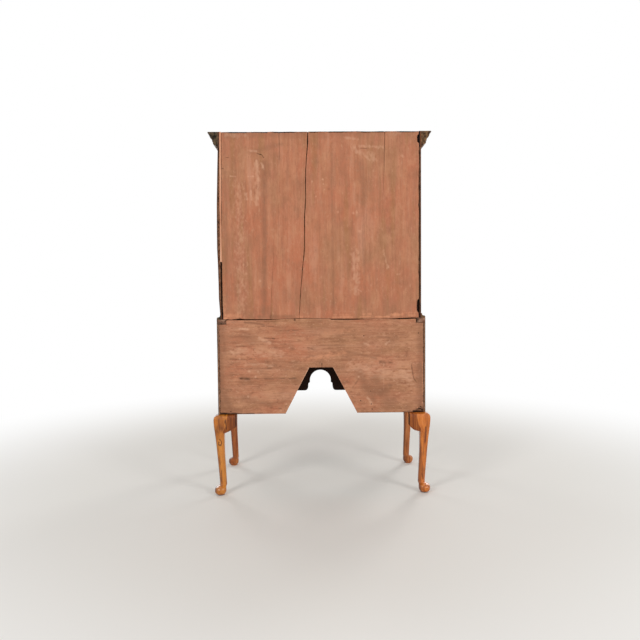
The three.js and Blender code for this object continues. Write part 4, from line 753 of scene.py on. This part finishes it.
LOWER_MARKS = {
    "dull": [
        (16, 60, 396, 571, 352, 569), (9, 45, 350, 569, 130, 567), (9, 35, 415, 618, 230, 618),
        (26, 60, 492, 428, 436, 406), (24, 70, -500, 420, -456, 402), (12, 50, -282, 642, -340, 640),
        (10, 70, 369, 842, 320, 838, 278, 830), (20, 60, 500, 420, 394, 412), (10, 40, -104, 777, -162, 777),
        (8, 40, 7, 727, -114, 727), (11, 45, -97, 703, -266, 660), (50, 25, -250, 800, 200, 800),
        (10, 45, -270, 767, -330, 760), (30, 40, 380, 470, 250, 440), (42, 50, -482, 830, -482, 400),
        (26, 50, 480, 820, 470, 700),
        (40, 55, 480, 500, 440, 400), (22, 70, -488, 480, -470, 398), (46, 50, -180, 590, -250, 470),
        (38, 62, 494, 835, 490, 400), (90, 25, 480, 800, 470, 500), (60, 42, -260, 560, -330, 430),
        (40, 30, 330, 640, 250, 560), (40, 30, 440, 780, 330, 760),
    ],
    "rubbed": [
        (4, 100, 62, 619, 112, 520), (4, 60, 112, 520, 172, 402), (5, 100, -54, 619, -104, 520),
        (6, 85, -104, 520, -166, 400), (11.7, 66, 393, 810, 357, 810), (10.4, 61, 323, 711), (10.4, 66, 396, 665),
        (10.4, 61, 321, 576), (10.4, 61, 173, 582), (11.7, 61, 352, 604), (9.1, 61, 309, 603), (10.4, 66, 358, 482),
        (9.1, 61, 186, 481), (9.1, 61, 174, 439), (9.1, 61, 200, 411), (9.1, 55, -378, 598, -435, 598),
        (10.4, 66, -179, 572), (33.8, 50, -385, 585, -430, 560), (9.1, 61, -351, 552),
        (7.8, 39, -301, 636, -301, 510), (11.7, 55, -493, 439), (52, 33, -150, 620, -420, 560),
        (39, 33, 420, 700, 200, 690), (11.7, 55, -206, 735, -225, 728), (10.4, 55, 440, 705, 425, 690),
        (15.6, 50, 300, 765, 250, 740), (9.1, 55, -330, 745, -310, 730), (11.7, 50, -240, 440, -222, 470),
        (18.2, 28, 370, 640, 240, 630),
    ],
    "bare": [
        (7, 110, -499, 434, -497, 420), (5, 110, -484, 412, -478, 408), (5, 100, -466, 418), (4, 100, -491, 443),
        (26, 40, 60, 660, -110, 690), (4, 50, -490, 640, -490, 480), (30, 30, -20, 790, -180, 800),
    ],
    "dirty": [
        (7.2, 47, 414, 724, 378, 726, 339, 723), (7.2, 42, 67, 717, 27, 704),
        (5.8, 52, 444, 664, 385, 662, 324, 665), (6, 45, 412, 618, 330, 616, 241, 619), (11, 52, 393, 570, 350, 569),
        (8, 36, 350, 569, 240, 566, 120, 569), (5.8, 42, 433, 400, 287, 400), (8.7, 52, 274, 765, 226, 762),
        (5.8, 62, -1, 639, -1, 623), (16, 34, -282, 642, -338, 642), (6, 50, 312, 846, 222, 844),
        (5, 50, 318, 823, 228, 821), (5.8, 58, -436, 629, -439, 606, -447, 561, -461, 541),
        (11, 34, -300, 533, -341, 530), (17.4, 73, -467, 405, -496, 400), (11.6, 73, 129, 852),
        (14.5, 62, 500, 400, 394, 397), (20.3, 36, 470, 520, 440, 515), (11.6, 42, -150, 520, -180, 560),
        (7.2, 36, 200, 800, 90, 803), (7.2, 36, -60, 745, -190, 750), (7.2, 31, 60, 560, -20, 690),
        (12, 62, 500, 401, 438, 399), (14, 60, -462, 408, -500, 400), (10, 40, 250, 424, 200, 420),
        (9, 100, 500, 398, 452, 397), (7, 85, 452, 397, 330, 396), (10, 105, -446, 399, -502, 398),
        (7, 90, -470, 414, -488, 409), (6, 90, -478, 424, -484, 420), (6, 70, -380, 396, -440, 396),
    ],
}
NAILS = [(-237, 501), (-244, 413), (-188, 455), (-240, 438), (443, 409), (-205, 771), (-470, 782)]

LOWER_BOARD_WIDTH = 460


def lower_board():
    """The stand's back board, its grain level: a ring across it at each place along X, from its lower edge, which
    follows the hole sawn in it, to its upper edge, which steps down under the bearers' ends. It is dirty within 5 mm
    of its edges, but not over the hole, nor for 8 mm under its upper edge."""
    half = LOWER_BACK_HIGH[0]
    post_inner = STAND_HALF - POST - SEAT_GAP
    low_half, high_half = CUTOUT_BOTTOM_WIDTH / 2, CUTOUT_TOP_WIDTH / 2
    turns = [-half, -post_inner, CUTOUT_OFFSET - low_half, CUTOUT_OFFSET - high_half]
    turns += [CUTOUT_OFFSET + high_half, CUTOUT_OFFSET + low_half, post_inner, half]
    stretches = [np.linspace(a, b, max(int((b - a) / BOARD_STEP), 3)) for a, b in zip(turns, turns[1:])]
    x = np.concatenate(stretches)[:, None]
    notched = np.repeat([True, *[False] * 5, True], [len(stretch) for stretch in stretches])[:, None]
    sawn = np.interp(x, turns[2:6], [0, 1, 1, 0]) * CUTOUT_HEIGHT
    bottom = CASE_BOTTOM + sawn + np.where(sawn > 0, 0.4 + 0.4 * wavy(x, 9, 3), 0)
    top = np.where(notched, STAND_TOP - BEARER_HEIGHT - SEAT_GAP, STAND_TOP + seam(x, -1))
    z = bottom + across_board(LOWER_BOARD_WIDTH)[None] * (top - bottom)
    x = x + z * 0
    from_edge = np.minimum(np.minimum(z - bottom, top - z), half - np.abs(x))
    torn = 0.3 * np.clip(uneven(z, x, 5, 60, 77), 0, 1) + 0.9 * under(LOWER_MARKS["dirty"][:LOWER_SCORED], x, z)
    sunk = worn_face(z, x, np.clip(1 - from_edge / ROUNDED_WITHIN, 0, 1)**4, 71) + torn
    rear = grid(x, REAR - sunk, z)
    front = rear[:, [-1, 0]].copy()
    front[..., 1] = LOWER_BACK_LOW[1]
    marks = {name: under(strokes, x, z) for name, strokes in LOWER_MARKS.items()}
    below = (top - z > 8) & (sawn == 0)
    edge_dirt = 0.55 * np.clip(1 - from_edge / 5, 0, 1) * (1 + uneven(x, z, 40, 5, 9)) * below
    marks["dirty"] = np.maximum(marks["dirty"], edge_dirt)
    return board(rear, front, marks)


# A hand-made nail's head, 6.4 mm across: the half-section of a low dome, driven just under the face
NAIL_HEAD = [(0.02, 0.5), (1.7, 0.3), (2.7, -0.1), (3.2, -0.7), (3.2, -3.0)]

build("washed_lower_board", [lower_board()], [washed_level], "stand", ["stand_back"])
build("nail_heads", [spun(NAIL_HEAD, 16, x, REAR - 0.4, z) for x, z in NAILS], [iron], "stand")


# Legs

def stretch(shares, top, height, projection, widest):
    """Stations down a leg: height, reach along the diagonal, width, and the share of half the width that the corners'
    radius takes. The drop, reach and swell are shares of the stretch's height, projection and widest place."""
    drop, reach, swell, roundness = np.array(shares).T
    width = ANKLE_DIAMETER + swell * (widest - ANKLE_DIAMETER)
    return np.stack([top - drop * height, reach * projection, width, roundness], axis=1)


SHANK_TOP = LEG_HEIGHT - KNEE_HEIGHT
KNEE_WIDTH = POST + KNEE_PROJECTION
KNEE_SHARES = [
    (0.07, 0.68, 0.79, 0.1), (0.16, 0.91, 0.94, 0.14), (0.31, 1, 1, 0.2), (0.62, 0.95, 0.85, 0.26),
    (1, 0.8, 0.39, 0.36),
]
SHANK_SHARES = [(0.18, 0.61, 0.21, 0.5), (0.46, 0.39, 0.09, 0.72), (0.75, 0.17, 0.04, 0.9), (1, 0, 0, 0.94)]
FOOT_SHARES = [
    (0.14, 0.34, 0.3, 0.94), (0.28, 0.82, 0.78, 0.94), (0.5, 1, 1, 0.94), (0.7, 0.96, 0.92, 0.94),
    (0.88, 0.76, 0.45, 0.94), (1, 0.46, 0, 0.94),
]
LEG_STATIONS = np.concatenate([
    [[LEG_HEIGHT, 0, POST, POST_CORNER_RADIUS / (POST / 2)]],
    stretch(KNEE_SHARES, LEG_HEIGHT, KNEE_HEIGHT, KNEE_PROJECTION, KNEE_WIDTH),
    stretch(SHANK_SHARES, SHANK_TOP, SHANK_TOP - FOOT_HEIGHT, KNEE_PROJECTION, KNEE_WIDTH),
    stretch(FOOT_SHARES, FOOT_HEIGHT, FOOT_HEIGHT, FOOT_PROJECTION, FOOT_DIAMETER),
])
LEG_STEPS = np.linspace(0, len(LEG_STATIONS) - 1, 131)
LEG_LINE = np.stack([eased(column, LEG_STEPS) for column in LEG_STATIONS.T], axis=1)


def with_flats(ring):
    """The values round each ring, ten for each corner's arc, with five more along the flat after each arc."""
    arcs = ring.reshape(len(ring), 4, 10)
    share = np.arange(1, 6) / 6
    flats = arcs[..., -1:] * (1 - share) + np.roll(arcs, -1, axis=1)[..., :1] * share
    return np.concatenate([arcs, flats], axis=-1).reshape(len(ring), -1)


def cabriole(top=None):
    """A leg with its corner at the origin: rounded squares whose centre moves out along the diagonal, so that both
    its coordinates are the reach less half the width. Each corner's arc has ten points. A top carries it up square.
    Its mark is how far a point is turned outwards along X, from -1 to 1: from it the legs get painted shade on their
    sides that face +X."""
    height, reach, width, roundness = LEG_LINE.T[:, :, None]
    angle = np.concatenate([np.linspace(corner, corner + 1, 10) for corner in range(4)]) * math.pi / 2
    toward_x = np.repeat([1, -1, -1, 1], 10)
    toward_y = np.repeat([1, 1, -1, -1], 10)
    half = width / 2
    radius = half * roundness
    x = reach - half + toward_x * (half - radius) + radius * np.cos(angle)
    y = reach - half + toward_y * (half - radius) + radius * np.sin(angle)
    rings = grid(with_flats(x), with_flats(y), height)
    if top:
        post = rings[:1].copy()
        post[..., 2] = top
        rings = np.concatenate([post, rings])
    return skin(rings, turned=with_flats(np.cos(angle[None])))


def knee_block(size, turned=False):
    """A block beside the knee, under the case. Its height falls from the root with a power of the share of its length,
    and its face follows the knee's swell, which fades with the square of that share. Its lower edge is rounded."""
    reach, end_height, power = size
    share = 1 - (1 - np.linspace(0, 1, 26)[:, None])**2
    height = end_height + (KNEE_BLOCK_ROOT_HEIGHT - end_height) * (1 - share**power)
    drop = np.linspace(0, 1, 26)[None]
    z = LEG_HEIGHT - drop * height
    swell = np.interp(-z, -LEG_LINE[:, 0], LEG_LINE[:, 1])
    face = swell * (1 - 0.55 * share**2) - SEAT_GAP - 2.2 * np.clip((drop - 0.9) / 0.1, 0, 1)**3
    x = -POST / 2 - share * (POST / 2 + reach)
    behind = np.full((len(share), 2), -KNEE_BLOCK_THICKNESS)
    rings = grid(x, np.concatenate([face, behind], axis=1), np.concatenate([z, z[:, [-1, 0]]], axis=1))
    return skin(rings[..., [1, 0, 2]] if turned else rings)


# Dark figure in the wood of the rear legs: a knot on the right one, and a streak on the left one. The last two marks
# are painted contact shade along the bottoms of both rear feet, where they meet the floor.
LEG_FIGURE_AND_FOOT_SHADE = [
    (4.5, 110, 499, 278, 491, 270, 488, 258, 493, 247, 501, 246, 505, 255, 502, 263), (3.5, 90, 497, 258, 499, 264),
    (12, 40, 500, 335, 503, 280), (4, 110, 467, 391, 465, 345, 463, 326), (44, 34, 494, 390, 497, 325),
    (10, 40, -488, 150, -492, 66), (5, 80, 492, 120, 494, 66), (4, 60, 505, 240, 498, 150),
    (6, 110, -503, 326, -502, 281, -499, 250), (4, 50, -494, 300, -491, 180), (5, 90, -486, 92, -492, 62),
    (4, 60, -478, 250, -484, 140), (5, 90, 530, 3, 466, 3), (5, 90, -530, 3, -466, 3),
]


def placed(shell, side, is_front):
    """A shell made at the rear right corner, moved to its own corner of the stand by mirroring. Its wood is painted
    dark as shade by the square of how far it is turned towards +X, and dark under the leg's own marks, the last two of
    which are painted contact shade under the rear feet."""
    points = shell["points"] * [side, -1 if is_front else 1, 1] + [side * STAND_HALF, FRONT if is_front else REAR, 0]
    turned = np.clip(side * shell["marks"].get("turned", points[:, 0] * 0), 0, 1)**2
    dirty = under([] if is_front else LEG_FIGURE_AND_FOOT_SHADE, points[:, 0], points[:, 2])
    return {**shell, "points": points, "marks": {"turned": turned, "dirty": dirty}}


INNER_POST = block(
    [-POST, -POST, LEG_HEIGHT - 4],
    [-PANEL_THICKNESS - SEAT_GAP, -PANEL_THICKNESS - SEAT_GAP, STAND_TOP - BEARER_HEIGHT - SEAT_GAP],
)
REAR_LEG = [cabriole(), INNER_POST]
FRONT_LEG = [cabriole(STAND_TOP)]
SIDE_BLOCK = knee_block(ROUNDED_BLOCK, turned=True)
# The -X legs and that rear leg's block across get tones painted lighter, and the front legs tones painted a little
# darker as shade under the case.
for corner, side, is_front, leg, walnut, across_size, across_walnut in (
    ("rear_right", 1, False, REAR_LEG, honey_walnut, SLOPING_BLOCK, red_walnut),
    ("rear_left", -1, False, REAR_LEG, lit_honey_walnut, ROUNDED_BLOCK, lit_red_walnut),
    ("front_right", 1, True, FRONT_LEG, amber_walnut, ROUNDED_BLOCK, red_walnut),
    ("front_left", -1, True, FRONT_LEG, pale_walnut, ROUNDED_BLOCK, red_walnut),
):
    shells = [placed(shell, side, is_front) for shell in leg]
    build(f"{corner}_leg", shells, [walnut], "stand", [f"leg_{corner}"])
    across = placed(knee_block(across_size), side, is_front)
    build(f"{corner}_block_across", [across], [across_walnut, shaded_block_end], "stand")
    along = placed(SIDE_BLOCK, side, is_front)
    build(f"{corner}_block_along", [along], [red_walnut_deep, shaded_block_end], "stand")


# Mouldings

def waist_profile():
    """Out and up: a straight edge, a nose rounded back to a step, and a hollow."""
    out, up = STAND_HALF - UPPER_HALF, WAIST_TOP - WAIST_BOTTOM
    return np.concatenate([
        [(SEAT_GAP, 0), (out - 0.8, 0), (out, 0.8)],
        curved((out, 0.14 * up), (out, 0.5 * up), (0.62 * out, 0.5 * up)),
        curved((0.62 * out - 0.1, 0.5 * up), (0.22 * out, 0.5 * up), (0.22 * out, up)),
        [(SEAT_GAP, up)],
    ])


# Places across the cornice's profile: shares of its projection outwards, and of its height down from the top
CORNICE_OUT = (0.13, 0.18, 0.36, 0.5, 0.56, 0.8, 0.885)
CORNICE_DOWN = (0.93, 0.8, 0.58, 0.47, 0.4, 0.08)


def cornice_profile():
    """Out and up, from the lowest bead: a cyma, a fillet, an ovolo and the top fillet."""
    height = CORNICE_TOP - CORNICE_BOTTOM
    bead, foot, middle, ledge, root, swell, tip = (
        SEAT_GAP + share * (CORNICE_PROJECTION - SEAT_GAP) for share in CORNICE_OUT
    )
    low, level, ledge_bottom, ovolo_bottom, ovolo_level, fillet = (height * (1 - share) for share in CORNICE_DOWN)
    return np.concatenate([
        [(SEAT_GAP, 0)],
        curved((bead / 2, 0), (bead, 0), (bead, low / 2)),
        [(bead, low)],
        curved((foot, low), (foot, level), (middle, level)),
        curved((middle + 0.1, level), (ledge, level), (ledge, ledge_bottom)),
        [(root, ledge_bottom)],
        curved((root, ovolo_bottom), (swell, ovolo_level), (tip, fillet)),
        [(CORNICE_PROJECTION - 0.6, fillet), (CORNICE_PROJECTION, fillet + 0.6)],
        [(CORNICE_PROJECTION, height - 0.8), (CORNICE_PROJECTION - 0.8, height), (SEAT_GAP, height)],
    ])


def carried(profile, base, seed, side):
    """A moulding: its profile carried forwards along one side, or along the front where the side is 0. The runs meet
    in mitres, so each ring leans by the profile's own projection where two meet. A plane left it uneven by 0.12 mm."""
    out, up = profile.T[:, None]
    if side:
        share = np.linspace(0, 1, 22)[:, None]
        y = REAR + share * (UPPER_FRONT - out - REAR)
        x = side * (UPPER_HALF + out)
    else:
        share = np.linspace(-1, 1, 42)[:, None]
        x = share * (UPPER_HALF + out - SEAT_GAP)
        y = UPPER_FRONT - out
    z = base + up
    planed = 0.12 * np.clip(uneven(x + y, z, 60, 9, seed), 0, 1) * (np.abs(share) < 1) * (share != 0 if side else 1)
    return skin(grid(x - planed * side, y + planed * (side == 0), z))


for kind, profile, base, body in (
    ("waist_moulding", waist_profile(), WAIST_BOTTOM, "stand"),
    ("cornice", cornice_profile(), CORNICE_BOTTOM, "upper_case"),
):
    for ending, side, grain, end in (
        ("right", 1, walnut_deep, grey_end),
        ("left", -1, walnut_deep, brown_end),
        ("front", 0, walnut_level, walnut_level),
    ):
        shell = carried(profile, base, 3 * side + 7, side)
        build(f"planed_{kind}_{ending}", [shell], [grain, end], body, [f"{kind}_{ending}"], crease=30)


# Drawers

def turned_post(x, y, z):
    """A brass post: its half-section of collar, stem and round head, turned about a line along Y."""
    head = np.linspace(-0.42, 0.5, 12) * math.pi
    stem = POST_STEM_RADIUS
    section = np.concatenate([
        [(0.01, -POST_ROOT), (POST_COLLAR_RADIUS, -POST_ROOT)],
        curved((POST_COLLAR_RADIUS, 0.8), (POST_COLLAR_RADIUS, POST_COLLAR_HEIGHT), (stem + 1, POST_COLLAR_HEIGHT)),
        [(stem, POST_COLLAR_HEIGHT + 1), (stem - 0.4, POST_REACH / 2)],
        np.stack([POST_HEAD_RADIUS * np.cos(head) + 0.01, POST_REACH + POST_HEAD_RADIUS * np.sin(head)], axis=1),
    ])
    return spun(section * [1, -1], 24, x, y, z)


def hung_bail(x, y, z):
    """A bail with its pins at the posts: a spline through its shoulders and its drop, with rings square to it that
    swell from the pins' radius to the grip's as the sine of the share of its length."""
    head = PULL_BORE / 2 + POST_HEAD_RADIUS
    arm = head + BAIL_SHOULDER + BAIL_RADIUS / 2
    side = [
        (head - PIN_DEPTH, 0), (head, 0), (head + BAIL_SHOULDER / 2, 0), (arm, -0.1 * BAIL_DROP),
        (arm, -0.34 * BAIL_DROP), (0.86 * arm, -0.7 * BAIL_DROP), (0.48 * arm, -0.95 * BAIL_DROP),
    ]
    stations = np.array([*side, (0, -BAIL_DROP), *((-across, down) for across, down in reversed(side))])
    steps = np.linspace(0, len(stations) - 1, 113)
    i = np.clip(steps.astype(int), 0, len(stations) - 2)
    t = (steps - i)[:, None]
    a, b = stations[i], stations[i + 1]
    before, after = stations[np.maximum(i - 1, 0)], stations[np.minimum(i + 2, len(stations) - 1)]
    line = cubic(a, b, (b - before) / 2, (after - a) / 2, t)
    ahead = np.gradient(line, axis=0)
    ahead /= np.linalg.norm(ahead, axis=1, keepdims=True)
    radius = (PIN_RADIUS + (BAIL_RADIUS - PIN_RADIUS) * np.sin(math.pi * steps / steps[-1]))[:, None]
    angle = np.linspace(0, 2 * math.pi, 15)[None, :-1]
    rim = radius * np.cos(angle)
    across = x + line[:, :1] - ahead[:, 1:] * rim
    height = z + line[:, 1:] + ahead[:, :1] * rim
    return skin(grid(across, y + radius * np.sin(angle), height))


def lipped_panel(low, high, face):
    """The lip of a drawer front: rectangles that step in by a quarter round and a fillet towards the front."""
    turn = np.linspace(0, math.pi / 2, 9)
    inset = np.concatenate([[0.6, 0], LIP_ROUND * (1 - np.cos(turn)), [LIP_ROUND + 0.8, LIP_ROUND + 1.1]])[:, None]
    quarter = LIP_THICKNESS - 1 - LIP_ROUND * (1 - np.sin(turn))
    reach = np.concatenate([[SEAT_GAP, 0.9], quarter, [LIP_THICKNESS - 0.9, LIP_THICKNESS]])[:, None]
    x = np.array([low[0], high[0], high[0], low[0]]) + inset * [1, -1, -1, 1]
    z = np.array([low[2], low[2], high[2], high[2]]) + inset * [1, 1, -1, -1]
    return skin(grid(x, face - reach, z))


def socketed_end(inner, outer, face, bottom, height):
    """One end of a drawer front's body, with a socket a seat's gap larger than each of the side's tails."""
    count = max(round(height / TAIL_PITCH), 1)
    pitch = height / count
    tip = FRONT_BODY_THICKNESS - TAIL_LENGTH
    root, wide = TAIL_ROOT_SHARE * pitch / 2, TAIL_TIP_SHARE * pitch / 2
    middle = bottom + (np.arange(count)[:, None] + 0.5) * pitch
    heights = middle + [-root - SEAT_GAP, -wide - SEAT_GAP, wide + SEAT_GAP, root + SEAT_GAP]
    depths = heights * 0 + [FRONT_BODY_THICKNESS, tip, tip, FRONT_BODY_THICKNESS]
    low, high = bottom + SLIDE_GAP - SEAT_GAP, bottom + height
    z = np.concatenate([[low], heights.ravel(), [high, high, low]])
    y = np.concatenate([[FRONT_BODY_THICKNESS], depths.ravel(), [FRONT_BODY_THICKNESS, -SEAT_GAP, -SEAT_GAP]])
    return skin(grid(np.array([[inner], [outer]]), face + y, z))


DRAWERS = {
    **{f"upper_drawer_{number}": UPPER_FRONT for number in (1, 2, 3, 4)},
    **{name: FRONT for name in ("stand_long_drawer", "centre_drawer", "deep_drawer_left", "deep_drawer_right")},
}
for drawer, face in DRAWERS.items():
    low, high = corners(f"{drawer}_front")
    centre = (low[0] + high[0]) / 2
    opening_half = (high[0] - low[0]) / 2 - LIP_OVERLAP
    bottom = low[2] + LIP_OVERLAP
    height = high[2] - low[2] - 2 * LIP_OVERLAP
    half = opening_half - SLIDE_GAP
    inner = half - DRAWER_SIDE_THICKNESS - SEAT_GAP
    side_height = height - DRAWER_HEADROOM - SEAT_GAP
    body = block(
        [centre - inner, face - SEAT_GAP, bottom + SLIDE_GAP],
        [centre + inner, face + FRONT_BODY_THICKNESS, bottom + SEAT_GAP + side_height],
    )
    ends = [
        socketed_end(centre + side * inner, centre + side * half, face, bottom + SEAT_GAP, side_height)
        for side in (-1, 1)
    ]
    panel = [lipped_panel(low, high, face), body, *ends]
    build(f"{drawer}_panel", panel, [walnut_level], drawer, [f"{drawer}_front"])
    pulls = {"": 0.0} if f"{drawer}_bail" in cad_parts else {"_left": -LONG_PULL_SHARE, "_right": LONG_PULL_SHARE}
    pivot_y = face - LIP_THICKNESS - POST_REACH
    pivot_z = bottom + PULL_HEIGHT_SHARE * height
    posts = []
    for ending, share in pulls.items():
        pull_x = centre + share * opening_half
        posts += [turned_post(pull_x + side * PULL_BORE / 2, face - LIP_THICKNESS, pivot_z) for side in (-1, 1)]
        bail = f"{drawer}_bail{ending}"
        build(f"{bail}_brass", [hung_bail(pull_x, pivot_y, pivot_z)], [brass], bail, [bail])
    build(f"{drawer}_posts", posts, [brass], drawer)


# Finishes of the solids that show as they are

RAILS = ["stand_top_rail", "stand_middle_rail", "upper_frieze", "upper_rail_", "upper_bottom"]
KEPT = {
    "upper_side_": upper_walnut, "stand_side_": stand_walnut, "front_apron": apron_walnut, "upper_top": pine_level,
    "stand_partition_": partition_walnut,
    **dict.fromkeys(RAILS, rail_walnut),
}
# Each drawer box is of the pine whose grain turns at its own back board
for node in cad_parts:
    if node.endswith("_box"):
        back_board = corners(node)[1][1] - DRAWER_SIDE_THICKNESS - 0.4
        KEPT[node] = figured_wood(
            f"dry_old_pine_of_{node}", "Y", OLD_PINE, 12, 0.75, 0.0, shine=0.25, across_behind=back_board,
        )
for node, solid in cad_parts.items():
    for finish in [finish for start, finish in KEPT.items() if node.startswith(start)]:
        solid.data.materials.clear()
        solid.data.materials.append(finish)


# Floor, light and camera

def pale_floor(name):
    """A plain pale floor that keeps the shadow near the piece and goes over to the white round it by 3 m."""
    material, add, place = new_finish(name)
    away = add("VectorMath", [place], out="Value", operation="LENGTH")
    faded = add("MapRange", [away, 1.1, 3.0], interpolation_type="SMOOTHSTEP")
    shown = add("Math", [faded, add("LightPath", out="Is Camera Ray")], operation="MULTIPLY")
    matt = add("BsdfPrincipled", {"Base Color": "#e8e5df", "Roughness": 0.7})
    white = add("Emission", ["#ffffff", 1.0])
    add("OutputMaterial", [add("MixShader", [shown, matt, white])])
    return material


floor_mesh = bpy.data.meshes.new("floor")
floor_mesh.from_pydata([(-12, -12, 0), (12, -12, 0), (12, 12, 0), (-12, 12, 0)], [], [(0, 1, 2, 3)])
floor_mesh.materials.append(pale_floor("pale_floor"))
floor = bpy.data.objects.new("floor", floor_mesh)
bpy.context.scene.collection.objects.link(floor)

# How brightly the white room lights the piece; the camera, mirrors and glass see it at 1
ROOM_LIGHT = 0.42
world = bpy.data.worlds.new("white_room")
world.use_nodes = True
world.node_tree.nodes.clear()
add = partial(add_node, world.node_tree)
direct, mirrored, glass = (add("LightPath", out=f"Is {ray} Ray") for ray in ("Camera", "Glossy", "Transmission"))
seen = add("Math", [direct, add("Math", [mirrored, glass], operation="MAXIMUM")], operation="MAXIMUM")
ambient, white = (add("Background", ["#ffffff", strength]) for strength in (ROOM_LIGHT, 1.0))
add("OutputWorld", [add("MixShader", [seen, ambient, white])])
bpy.context.scene.world = world


def facing(right, up, back, origin):
    """The matrix of a lamp or a camera at a point, from the directions of its own X, Y and Z."""
    return Matrix([[*row, place] for row, place in zip(np.stack([right, up, back], 1), origin)] + [[0, 0, 0, 1]])


# Soft lamps, as wide as each other and aimed at the middle of the piece: where each stands in metres, and its watts
LAMPS = {
    "rear_left_lamp": ((2.6, 3.4, 2.7), 62),
    "rear_right_lamp": ((-2.8, 3.0, 2.2), 54),
    "front_left_lamp": ((-2.4, -3.2, 2.6), 46),
    "front_right_lamp": ((2.4, -3.0, 2.2), 30),
}
LAMP_WIDTH, LAMP_TARGET = 1.4, (0, 0, 0.9)
for name, (origin, watts) in LAMPS.items():
    lamp = bpy.data.lights.new(name, "AREA")
    lamp.shape = "DISK"
    lamp.size = LAMP_WIDTH
    lamp.energy = watts
    holder = bpy.data.objects.new(name, lamp)
    back = np.subtract(origin, LAMP_TARGET)
    back /= np.linalg.norm(back)
    right = np.cross([0, 0, 1], back)
    right /= np.linalg.norm(right)
    holder.matrix_world = facing(right, np.cross(back, right), back, origin)
    holder.visible_camera = False
    bpy.context.scene.collection.objects.link(holder)

# The camera fitted to the photograph, behind the piece: its place in metres and its turns in radians
CAMERA_PLACE = (0.0492, 3.1117, 0.9942)
CAMERA_YAW, CAMERA_PITCH, CAMERA_ROLL = -0.0150, 0.0505, -0.0091
level = np.array([math.sin(CAMERA_YAW), -math.cos(CAMERA_YAW), 0])
right = np.array([-math.cos(CAMERA_YAW), -math.sin(CAMERA_YAW), 0])
ahead = level * math.cos(CAMERA_PITCH) - np.array([0, 0, math.sin(CAMERA_PITCH)])
up = level * math.sin(CAMERA_PITCH) + np.array([0, 0, math.cos(CAMERA_PITCH)])
rolled_right = right * math.cos(CAMERA_ROLL) + up * math.sin(CAMERA_ROLL)
rolled_up = up * math.cos(CAMERA_ROLL) - right * math.sin(CAMERA_ROLL)
lens = bpy.data.cameras.new("camera")
lens.sensor_width = 36.0
lens.lens = 33.334
camera = bpy.data.objects.new("camera", lens)
camera.matrix_world = facing(rolled_right, rolled_up, -ahead, CAMERA_PLACE)
bpy.context.scene.collection.objects.link(camera)
bpy.context.scene.camera = camera
bpy.context.scene.view_settings.view_transform = "Standard"
